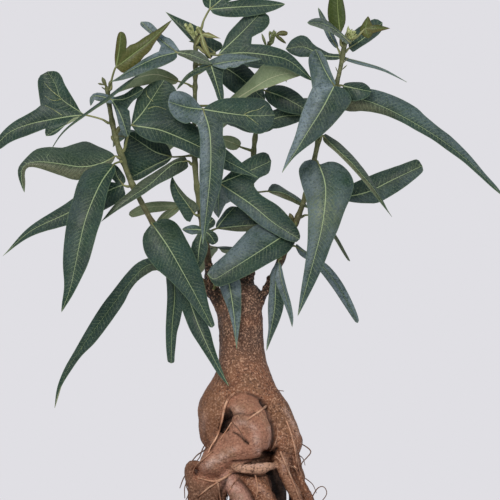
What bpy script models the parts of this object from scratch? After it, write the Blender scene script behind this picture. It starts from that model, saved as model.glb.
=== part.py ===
# A potted bottle tree: a swollen trunk on a tangle of thick bare roots, four thin stems
# and long pointed leaves, some simple and some with two to four lobes, in a plain pot.
#
# Lengths in the tables are millimetres. X runs to the right, Z up, and Y away from the
# front. The origin is the middle of the pot's underside.

import math

import bmesh
import bpy
import numpy as np

MM = 0.001
OBJECT_NAME = "potted_bottle_tree"

# Driving dimensions, in millimetres
POT_HEIGHT = 140.0
POT_TOP_RADIUS = 84.0
POT_BAND_HEIGHT = 28.0
POT_BAND_STEP = 5.0
POT_FOOT_RADIUS = 58.0
POT_WALL = 6.0
POT_FLOOR = 8.0
POT_EDGE = 1.5
DRAIN_RADIUS = 5.0
DRAIN_CIRCLE = 26.0
DRAINS = 4
SOIL_TOP = 126.0
ROOT_DEPTH = 20.0
GAP = 0.3
TURN_STEPS = 32
LEAF_THICKNESS = 0.8
STALK_RADIUS = 0.9
ROOF = -18.0

# Leaf outlines: how fast a lobe widens from its base and narrows to its tip
LONG = (0.45, 1.15)
BLADE = (0.5, 0.75)
HEART = (0.25, 1.3)
ROUND = (0.6, 0.42)
SPOON = (1.0, 0.42)
STRAP = (0.3, 0.32)

# Directions that a blade's upper face looks in
FRONT = (-0.1, -1.0, 0.3)
LEFT_UP = (-0.6, -0.8, 0.5)
UNDER = (0.0, 0.9, 0.35)

# Colours and finishes: red, green, blue, roughness
LEAF_GREEN = (0.030, 0.085, 0.050, 0.45)
YOUNG_GREEN = (0.150, 0.170, 0.030, 0.45)
STEM_GREEN = (0.160, 0.150, 0.060, 0.60)
BARK_BROWN = (0.300, 0.160, 0.090, 0.80)
SOIL_BROWN = (0.045, 0.030, 0.022, 0.95)
CLAY = (0.480, 0.210, 0.120, 0.85)


# Curves through hand-set points

def smooth_curve(points):
    """A dense curve through the points, with its running length."""
    pts = np.array(points, float)
    ends = np.vstack([2 * pts[0] - pts[1], pts, 2 * pts[-1] - pts[-2]])
    steps = np.linspace(0.0, 1.0, 13)[1:, None]
    dense = [pts[:1]]
    for a, b, c, d in zip(ends, ends[1:], ends[2:], ends[3:]):
        curve = 2 * b + (c - a) * steps + (2 * a - 5 * b + 4 * c - d) * steps**2
        curve += (3 * b - 3 * c + d - a) * steps**3
        dense.append(curve / 2)
    dense = np.vstack(dense)
    lengths = np.linalg.norm(np.diff(dense[:, :3], axis=0), axis=1)
    return dense, np.concatenate([[0.0], np.cumsum(lengths)])


def points_along(curve, distances):
    dense, lengths = curve
    return np.stack([np.interp(distances, lengths, dense[:, k]) for k in range(dense.shape[1])], axis=1)


def unit(vector):
    vector = np.asarray(vector, float)
    return vector / np.linalg.norm(vector)


# Objects, materials and joins

def make_material(name, finish):
    material = bpy.data.materials.new(name)
    material.use_nodes = True
    shader = material.node_tree.nodes["Principled BSDF"]
    shader.inputs["Base Color"].default_value = (*finish[:3], 1.0)
    shader.inputs["Roughness"].default_value = finish[3]
    shader.inputs["Metallic"].default_value = 0.0
    material.diffuse_color = (*finish[:3], 1.0)
    return material


def add_object(name, mesh, collection):
    piece = bpy.data.objects.new(name, mesh)
    collection.objects.link(piece)
    return piece


def settled_mesh(piece):
    """The object's mesh as its modifiers leave it, with close points merged."""
    graph = bpy.context.evaluated_depsgraph_get()
    mesh = bpy.data.meshes.new_from_object(piece.evaluated_get(graph))
    shape = bmesh.new()
    shape.from_mesh(mesh)
    bmesh.ops.remove_doubles(shape, verts=shape.verts, dist=0.002 * MM)
    shape.to_mesh(mesh)
    shape.free()
    return mesh


def remove_object(piece):
    data = piece.data
    bpy.data.objects.remove(piece, do_unlink=True)
    if isinstance(data, bpy.types.Curve):
        bpy.data.curves.remove(data)


def joined(name, first, others, collection):
    """One closed solid made of overlapping closed pieces."""
    if others:
        group = bpy.data.collections.new(name + "_parts")
        bpy.context.scene.collection.children.link(group)
        for other in others:
            group.objects.link(other)
        union = first.modifiers.new("Join", "BOOLEAN")
        union.operation = "UNION"
        union.operand_type = "COLLECTION"
        union.collection = group
        union.solver = "MANIFOLD"
    mesh = settled_mesh(first)
    mesh.name = name
    for piece in [first, *others]:
        remove_object(piece)
    if others:
        bpy.data.collections.remove(group)
    return add_object(name, mesh, collection)


def tube(points, collection, resolution=1):
    """A closed tapered tube. Each point is x, y, z and radius."""
    curve = bpy.data.curves.new("tube", "CURVE")
    curve.dimensions = "3D"
    curve.bevel_depth = MM
    curve.bevel_resolution = resolution
    curve.use_fill_caps = True
    spline = curve.splines.new("POLY")
    spline.points.add(len(points) - 1)
    for target, (x, y, z, radius) in zip(spline.points, points):
        target.co = (x * MM, y * MM, z * MM, 1.0)
        target.radius = radius
    guide = add_object("tube", curve, collection)
    mesh = settled_mesh(guide)
    remove_object(guide)
    return add_object("tube", mesh, collection)


def smooth_tube(points, steps, collection, resolution=1):
    curve = smooth_curve(points)
    rings = points_along(curve, np.linspace(0.0, curve[1][-1], steps + 1))
    return tube(rings, collection, resolution)


def bud(root, tip, width, collection):
    """A bud on a short foot: a tube that starts inside its stem, swells and comes to a point."""
    root, tip = np.array(root, float), np.array(tip, float)
    swelling = [(0.0, 0.6), (0.35, 0.6), (0.65, 1.0), (0.85, 0.75), (1.0, 0.15)]
    points = [(*(root + share * (tip - root)), width * wide) for share, wide in swelling]
    return tube(points, collection, 0)


# The pot and the soil

def turned_solid(name, profile, collection):
    """A closed solid turned about Z. The profile runs from the axis, out and down, to the axis."""
    mesh = bpy.data.meshes.new(name)
    shape = bmesh.new()
    verts = [shape.verts.new((r * MM, 0.0, z * MM)) for r, z in profile]
    for a, b in zip(verts, verts[1:]):
        shape.edges.new((a, b))
    shape.to_mesh(mesh)
    shape.free()
    piece = add_object(name, mesh, collection)
    screw = piece.modifiers.new("Turn", "SCREW")
    screw.steps = TURN_STEPS
    screw.render_steps = TURN_STEPS
    screw.use_merge_vertices = True
    screw.merge_threshold = 0.0001
    return piece


def cut(piece, cutters, collection):
    """Cuts the cutters out of the piece and leaves them behind as guides."""
    for cutter in cutters:
        collection.objects.link(cutter)
        cutter.hide_render = True
        cutter.display_type = "WIRE"
    cutting = piece.modifiers.new("Holes", "BOOLEAN")
    cutting.operation = "DIFFERENCE"
    cutting.operand_type = "COLLECTION"
    cutting.collection = collection


def post(name, x, y, low, high, radius, sides=12):
    """A closed upright cylinder, for cutting a round hole."""
    shape = bmesh.new()
    bmesh.ops.create_cone(
        shape, cap_ends=True, segments=sides, radius1=radius * MM, radius2=radius * MM,
        depth=(high - low) * MM,
    )
    bmesh.ops.translate(shape, verts=shape.verts, vec=(x * MM, y * MM, (low + high) / 2 * MM))
    mesh = bpy.data.meshes.new(name)
    shape.to_mesh(mesh)
    shape.free()
    return bpy.data.objects.new(name, mesh)


def inner_radius(height):
    """The radius of the pot's inner wall at a height."""
    share = (height - POT_FLOOR) / (POT_HEIGHT - POT_FLOOR)
    foot = POT_FOOT_RADIUS - POT_WALL
    return foot + share * (POT_TOP_RADIUS - POT_WALL - foot)


def build_pot(parts, cutters):
    band = POT_HEIGHT - POT_BAND_HEIGHT
    profile = [
        (0.0, POT_FLOOR),
        (inner_radius(POT_FLOOR), POT_FLOOR),
        (inner_radius(POT_HEIGHT), POT_HEIGHT - POT_EDGE),
        (inner_radius(POT_HEIGHT) + POT_EDGE, POT_HEIGHT),
        (POT_TOP_RADIUS - POT_EDGE, POT_HEIGHT),
        (POT_TOP_RADIUS, POT_HEIGHT - POT_EDGE),
        (POT_TOP_RADIUS - 1.0, band + POT_EDGE),
        (POT_TOP_RADIUS - 1.0 - POT_EDGE, band),
        (POT_TOP_RADIUS - POT_BAND_STEP, band - 1.0),
        (POT_FOOT_RADIUS, 2 * POT_EDGE),
        (POT_FOOT_RADIUS - 2 * POT_EDGE, 0.0),
        (0.0, 0.0),
    ]
    pot = turned_solid("pot", profile, parts)
    holes = []
    for k in range(DRAINS):
        turn = math.tau * (k + 0.5) / DRAINS
        x, y = DRAIN_CIRCLE * math.cos(turn), DRAIN_CIRCLE * math.sin(turn)
        holes.append(post(f"drain_{k + 1}", x, y, -2.0, POT_FLOOR + 2.0, DRAIN_RADIUS))
    cut(pot, holes, cutters)
    pot.data.materials.append(make_material("clay", CLAY))


def build_soil(parts, cutters):
    bottom = POT_FLOOR + GAP
    profile = [
        (0.0, SOIL_TOP),
        (inner_radius(SOIL_TOP) - GAP - 0.2, SOIL_TOP),
        (inner_radius(bottom) - GAP - 0.2, bottom),
        (0.0, bottom),
    ]
    soil = turned_solid("soil", profile, parts)
    low = SOIL_TOP - ROOT_DEPTH - 0.5
    holes = []
    for k, (x, y, radius) in enumerate(ROOT_ENDS):
        hole = post(f"root_hole_{k + 1}", x, y, low, SOIL_TOP + 2.0, radius * 1.05 + 0.35, 10)
        holes.append(hole)
    cut(soil, holes, cutters)
    soil.data.materials.append(make_material("potting_soil", SOIL_BROWN))


# The trunk. Rings: height, centre x, centre y, half width, half depth

TRUNK_RINGS = [
    (160, -4, 6, 12, 13),
    (172, 0, 6, 20, 19),
    (184, 5, 6, 27, 21),
    (196, 3, 7, 34, 24),
    (206, 1, 7, 38, 25),
    (216, -3, 5, 38.5, 26),
    (228, -5.5, 2, 35.5, 27),
    (240, -6.5, 0, 28, 26),
    (254, -5.5, 0, 21.8, 21.5),
    (270, -6.6, 0, 18.2, 18.6),
    (300, -7.6, 0, 17.2, 17.2),
    (316, -8.2, 0, 16.4, 16.0),
    (322, -8.2, 0, 14.0, 13.0),
]
RING_POINTS = 18

# Thick roots and branch ends: points of x, y, z and radius, and the number of steps
ROOT_FLANK_LEFT = [
    (-14, -2, 246, 9), (-25, -6, 230, 12.5), (-29, -8, 215, 13), (-28.5, -9, 202, 11.5), (-27, -6, 188, 7),
]
ROOT_FLANK_RIGHT = [
    (4, -2, 252, 8), (13, -6, 233, 11), (23.5, -9, 214, 11.5), (30, -9, 198, 11), (31, -8, 184, 8),
    (35, -9, 171, 6), (42, -10, 159, 5.6), (47, -11, 147, 5.4), (50, -12, 134, 5.4),
]
ROOT_KNOT = [
    (-12, -12, 214, 8), (-6.5, -22, 220.5, 13.5), (1, -27, 217, 14), (5.5, -29, 206, 13),
    (4, -29, 198, 12), (-5, -28, 191.5, 10.5), (-17, -24, 186.5, 10), (-28, -19, 180.5, 10.5),
    (-36, -13, 172, 8.5),
]
ROOT_KNOT_CORE = [(-3, -12, 212, 10), (-5, -19, 209, 10), (-6, -23, 205, 9)]
ROOT_BAND = [
    (-17, -22, 174, 3.5), (-10, -30, 177, 4.4), (2, -34, 177.3, 4.5), (13, -32, 177.8, 4.6),
    (20, -22, 181, 4),
]
ROOT_LEFT_END = [
    (-27, -8, 180, 9), (-33, -12, 168, 8.5), (-35, -15, 155, 9), (-35, -16, 144, 9), (-35, -16, 134, 9),
]
ROOT_HOOK = [
    (-34, -9, 172, 4), (-42, -12, 178, 4.4), (-47, -13, 176.5, 4.2), (-49, -14, 168, 3.4),
    (-50, -14, 152, 3), (-51, -14, 134, 3),
]
ROOT_PINK = [
    (-15, -16, 177, 6), (-16, -23, 167, 7.5), (-9, -28, 156, 8), (-4, -31, 146, 8), (-2, -32, 134, 8),
]
ROOT_MIDDLE = [
    (-4, -14, 176, 7), (3, -22, 165, 8), (10, -27, 156, 8), (17, -30, 146, 7.8), (19, -31, 134, 7.6),
]
ROOT_PALE = [
    (20, -14, 194, 4.5), (25, -19, 182, 4.6), (28.5, -21, 170, 4.4), (33, -23, 158, 4.2),
    (37, -24, 147, 4), (39, -24, 134, 4),
]
ROOT_BACK_LEFT = [
    (-18, 12, 206, 11), (-27, 24, 184, 11), (-34, 32, 162, 9), (-38, 36, 146, 8), (-39, 37, 134, 8),
]
ROOT_BACK = [(2, 16, 206, 13), (2, 30, 186, 12), (-2, 40, 164, 10), (-4, 44, 148, 9), (-4, 45, 134, 9)]
ROOT_BACK_RIGHT = [
    (20, 10, 206, 11), (30, 20, 184, 10.5), (36, 28, 164, 8.5), (40, 33, 148, 8), (41, 34, 134, 8),
]
ROOT_TAP = [(-3, 6, 176, 15), (-5, 7, 160, 12), (-7, 7, 146, 10), (-7, 7, 134, 10)]
ROOT_TAP_RIGHT = [(10, 4, 180, 14), (17, 3, 162, 11), (20, 3, 147, 9.5), (20, 3, 134, 9.5)]
ROOT_CROSS_BACK = [(-30, 14, 196, 7), (-16, 33, 200, 8), (4, 38, 196, 8), (22, 30, 188, 8), (34, 15, 184, 7)]
THIN_ROOT_LEFT = [
    (-10, -32, 238, 0.9), (-17, -30, 233, 1.4), (-21.5, -24, 222, 1.4),
    (-24, -21, 209, 1.4), (-30, -19, 198, 1.3), (-33, -16, 190, 1),
]
THIN_ROOT_LOW = [(-14, -27, 174, 0.9), (-22, -28, 171, 1.3), (-30, -26, 166.5, 1.4), (-40, -19, 165, 1.1)]

# Roots that reach the soil end in a straight upright length
SOIL_ROOTS = [
    ROOT_FLANK_RIGHT, ROOT_LEFT_END, ROOT_HOOK, ROOT_PINK, ROOT_MIDDLE, ROOT_PALE,
    ROOT_BACK_LEFT, ROOT_BACK, ROOT_BACK_RIGHT, ROOT_TAP, ROOT_TAP_RIGHT,
]
OTHER_ROOTS = [ROOT_FLANK_LEFT, ROOT_KNOT, ROOT_KNOT_CORE, ROOT_BAND, ROOT_CROSS_BACK]
THIN_ROOTS = [THIN_ROOT_LEFT, THIN_ROOT_LOW]
ROOT_ENDS = [(root[-1][0], root[-1][1], root[-1][3]) for root in SOIL_ROOTS]

# Cut ends at the neck that the stems grow from
BRANCH_LEFT = [(-16, 0, 286, 9), (-21, -1, 302, 7.5), (-28, -2, 313, 6), (-36, -4, 322, 4.6)]
BRANCH_CENTRE = [(-22, 1, 306, 6), (-29, 2, 318, 5), (-32, 2, 330, 4.2), (-33.5, 2, 340, 3.6)]
BRANCH_BACK = [(-4, 2, 300, 8), (-3, 5, 320, 7), (-2, 8, 332, 5.4), (-1.5, 10, 340, 4.6)]
BRANCH_RIGHT = [(0, -1, 296, 7), (8, -2, 310, 5.6), (14, -3, 320, 4.6), (18, -4, 328, 4)]
BRANCH_STEPS = 4
BRANCHES = [BRANCH_LEFT, BRANCH_CENTRE, BRANCH_BACK, BRANCH_RIGHT]


def trunk_body(collection):
    """The bottle: oval rings bridged from the root crown up to the neck."""
    shape = bmesh.new()
    rings = []
    for z, x, y, wide, deep in TRUNK_RINGS:
        ring = []
        for k in range(RING_POINTS):
            turn = math.tau * k / RING_POINTS
            place = (x + wide * math.cos(turn), y + deep * math.sin(turn), z)
            ring.append(shape.verts.new(np.array(place) * MM))
        rings.append(ring)
    for low, high in zip(rings, rings[1:]):
        for k in range(RING_POINTS):
            n = (k + 1) % RING_POINTS
            shape.faces.new((low[k], low[n], high[n], high[k]))
    shape.faces.new(list(reversed(rings[0])))
    shape.faces.new(rings[-1])
    mesh = bpy.data.meshes.new("trunk_body")
    shape.to_mesh(mesh)
    shape.free()
    return add_object("trunk_body", mesh, collection)


def build_trunk(parts):
    pieces = []
    for root in SOIL_ROOTS:
        curve = smooth_curve(root)
        rings = points_along(curve, np.linspace(0.0, curve[1][-1], 2 * len(root) - 1))
        x, y, _, radius = root[-1]
        rings = np.vstack([rings, [(x, y, SOIL_TOP - ROOT_DEPTH, radius)]])
        pieces.append(tube(rings, parts, 2))
    for root in OTHER_ROOTS:
        pieces.append(smooth_tube(root, 2 * len(root) - 1, parts, 2))
    for root in THIN_ROOTS:
        pieces.append(smooth_tube(root, len(root) + 1, parts, 0))
    for branch in BRANCHES:
        pieces.append(smooth_tube(branch, BRANCH_STEPS, parts, 2))
    trunk = joined("trunk", trunk_body(parts), pieces, parts)
    trunk.data.materials.append(make_material("bark", BARK_BROWN))


# The stems: points of x, y, z and radius, starting on the branch end that carries them

STEMS = {
    "stem_left": [
        (-36, -4, 322, 3.4), (-48, -8, 333, 3.0), (-62, -11, 350, 2.5), (-77, -14, 371, 2.3),
        (-86, -16, 387, 2.2), (-95, -19, 405, 2.2), (-102, -21, 424, 2.2), (-107, -22, 440, 2.1),
        (-110, -23, 454, 1.9), (-112.5, -24, 470, 1.8), (-113.5, -25, 480, 1.6),
    ],
    "stem_centre": [
        (-33.5, 2, 340, 3.0), (-35, 0, 352, 2.7), (-38, -2, 370, 2.5), (-41, -5, 390, 2.2),
        (-43.5, -7, 412, 2.1), (-44.5, -8, 440, 1.9), (-44, -9, 470, 1.7), (-43.5, -10, 500, 1.6),
        (-43, -10, 518, 1.5), (-41, -10, 528, 1.3),
    ],
    "stem_back": [
        (-1.5, 10, 340, 3.8), (-1, 14, 356, 3.0), (0, 18, 378, 2.3), (1.5, 22, 405, 2.0),
        (3.2, 25, 432, 1.9), (6, 27, 455, 1.7), (9.5, 28, 482, 1.5), (13, 28, 505, 1.5),
        (15.5, 28, 518, 1.4),
    ],
    "stem_right": [
        (18, -4, 328, 3.2), (26, -5, 345, 2.8), (35, -6, 368, 2.3), (43, -7, 389, 2.1),
        (48, -9, 408, 2.0), (53, -11, 430, 2.0), (57, -13, 450, 1.9), (62.5, -15, 468, 1.8),
        (69, -16, 483, 1.8), (73, -16, 500, 1.7), (75.5, -16, 515, 1.6), (78, -16, 524, 1.2),
    ],
}
STEM_STEPS = 13
STEM_FOOT = 2.5
STEM_BASES = {
    "stem_left": BRANCH_LEFT, "stem_centre": BRANCH_CENTRE,
    "stem_back": BRANCH_BACK, "stem_right": BRANCH_RIGHT,
}

# Buds: a root on the stem's axis, a tip and a width
BUDS = {
    "stem_left": [
        ((-113.4, -25, 478), (-115.5, -26, 489), 1.6), ((-113, -25, 477), (-119, -25.5, 488), 1.6),
        ((-113, -24.5, 476), (-121.5, -26, 483), 1.0), ((-107, -22, 440), (-103.5, -24, 449), 2.0),
    ],
    "stem_centre": [
        ((-42.5, -10, 521), (-51.5, -13, 531), 1.5), ((-42, -10, 523), (-47, -13, 533), 1.4),
        ((-42.3, -10, 521), (-26, -11, 519), 1.6), ((-42.5, -10, 519), (-34, -14, 512), 1.6),
    ],
    "stem_back": [
        ((15.3, 28, 517), (18.5, 27, 529), 1.3), ((15, 28, 516), (30, 26, 527.5), 1.9),
        ((14.5, 28, 513), (28.5, 26, 517.5), 1.2), ((14, 28, 512), (10, 28, 525), 1.0),
    ],
    "stem_right": [
        ((77.5, -16, 522), (80.5, -17, 532), 1.5), ((77, -16, 520), (86, -14, 528), 1.5),
        ((76.5, -16, 518), (80, -12, 526), 1.3),
    ],
}


def last_ring(branch):
    """The middle of the last ring before a branch's cut end."""
    curve = smooth_curve(branch)
    return points_along(curve, [curve[1][-1] * (BRANCH_STEPS - 1) / BRANCH_STEPS])[0, :3]


def build_stems(parts, stem_green):
    for name, points in STEMS.items():
        base = STEM_BASES[name]
        outward = unit(np.array(base[-1][:3]) - last_ring(base))
        seat, radius = np.array(points[0][:3]), points[0][3]
        foot = [np.append(seat + outward * lift, radius) for lift in (GAP, STEM_FOOT)]
        curve = smooth_curve([foot[1], *points[1:]])
        rings = points_along(curve, np.linspace(0.0, curve[1][-1], STEM_STEPS + 1))
        shoots = [bud(*values, parts) for values in BUDS[name]]
        stem = joined(name, tube([foot[0], *rings], parts, 1), shoots, parts)
        stem.data.materials.append(stem_green)


# The leaves. A leaf is a stalk and lobes that share one joint. Its lobes are listed
# clockwise, seen from the upper face.

def lobe(half_width, outline, *points, face=FRONT, fold=ROOF):
    """A lobe's half width, outline, the points of its midrib after the joint and its faces."""
    faces = face if isinstance(face[0], tuple) else (face, face)
    return {"half_width": half_width, "outline": outline, "points": points, "faces": faces, "fold": fold}


def leaf(name, carrier, seat, joint, lobes, via=(), web=18.0, young=False):
    """A leaf on the carrier at a point near its axis, with its stalk led through via."""
    return {
        "name": name, "carrier": carrier, "seat": seat, "joint": joint,
        "lobes": lobes, "via": via, "web": web, "young": young,
    }


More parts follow.
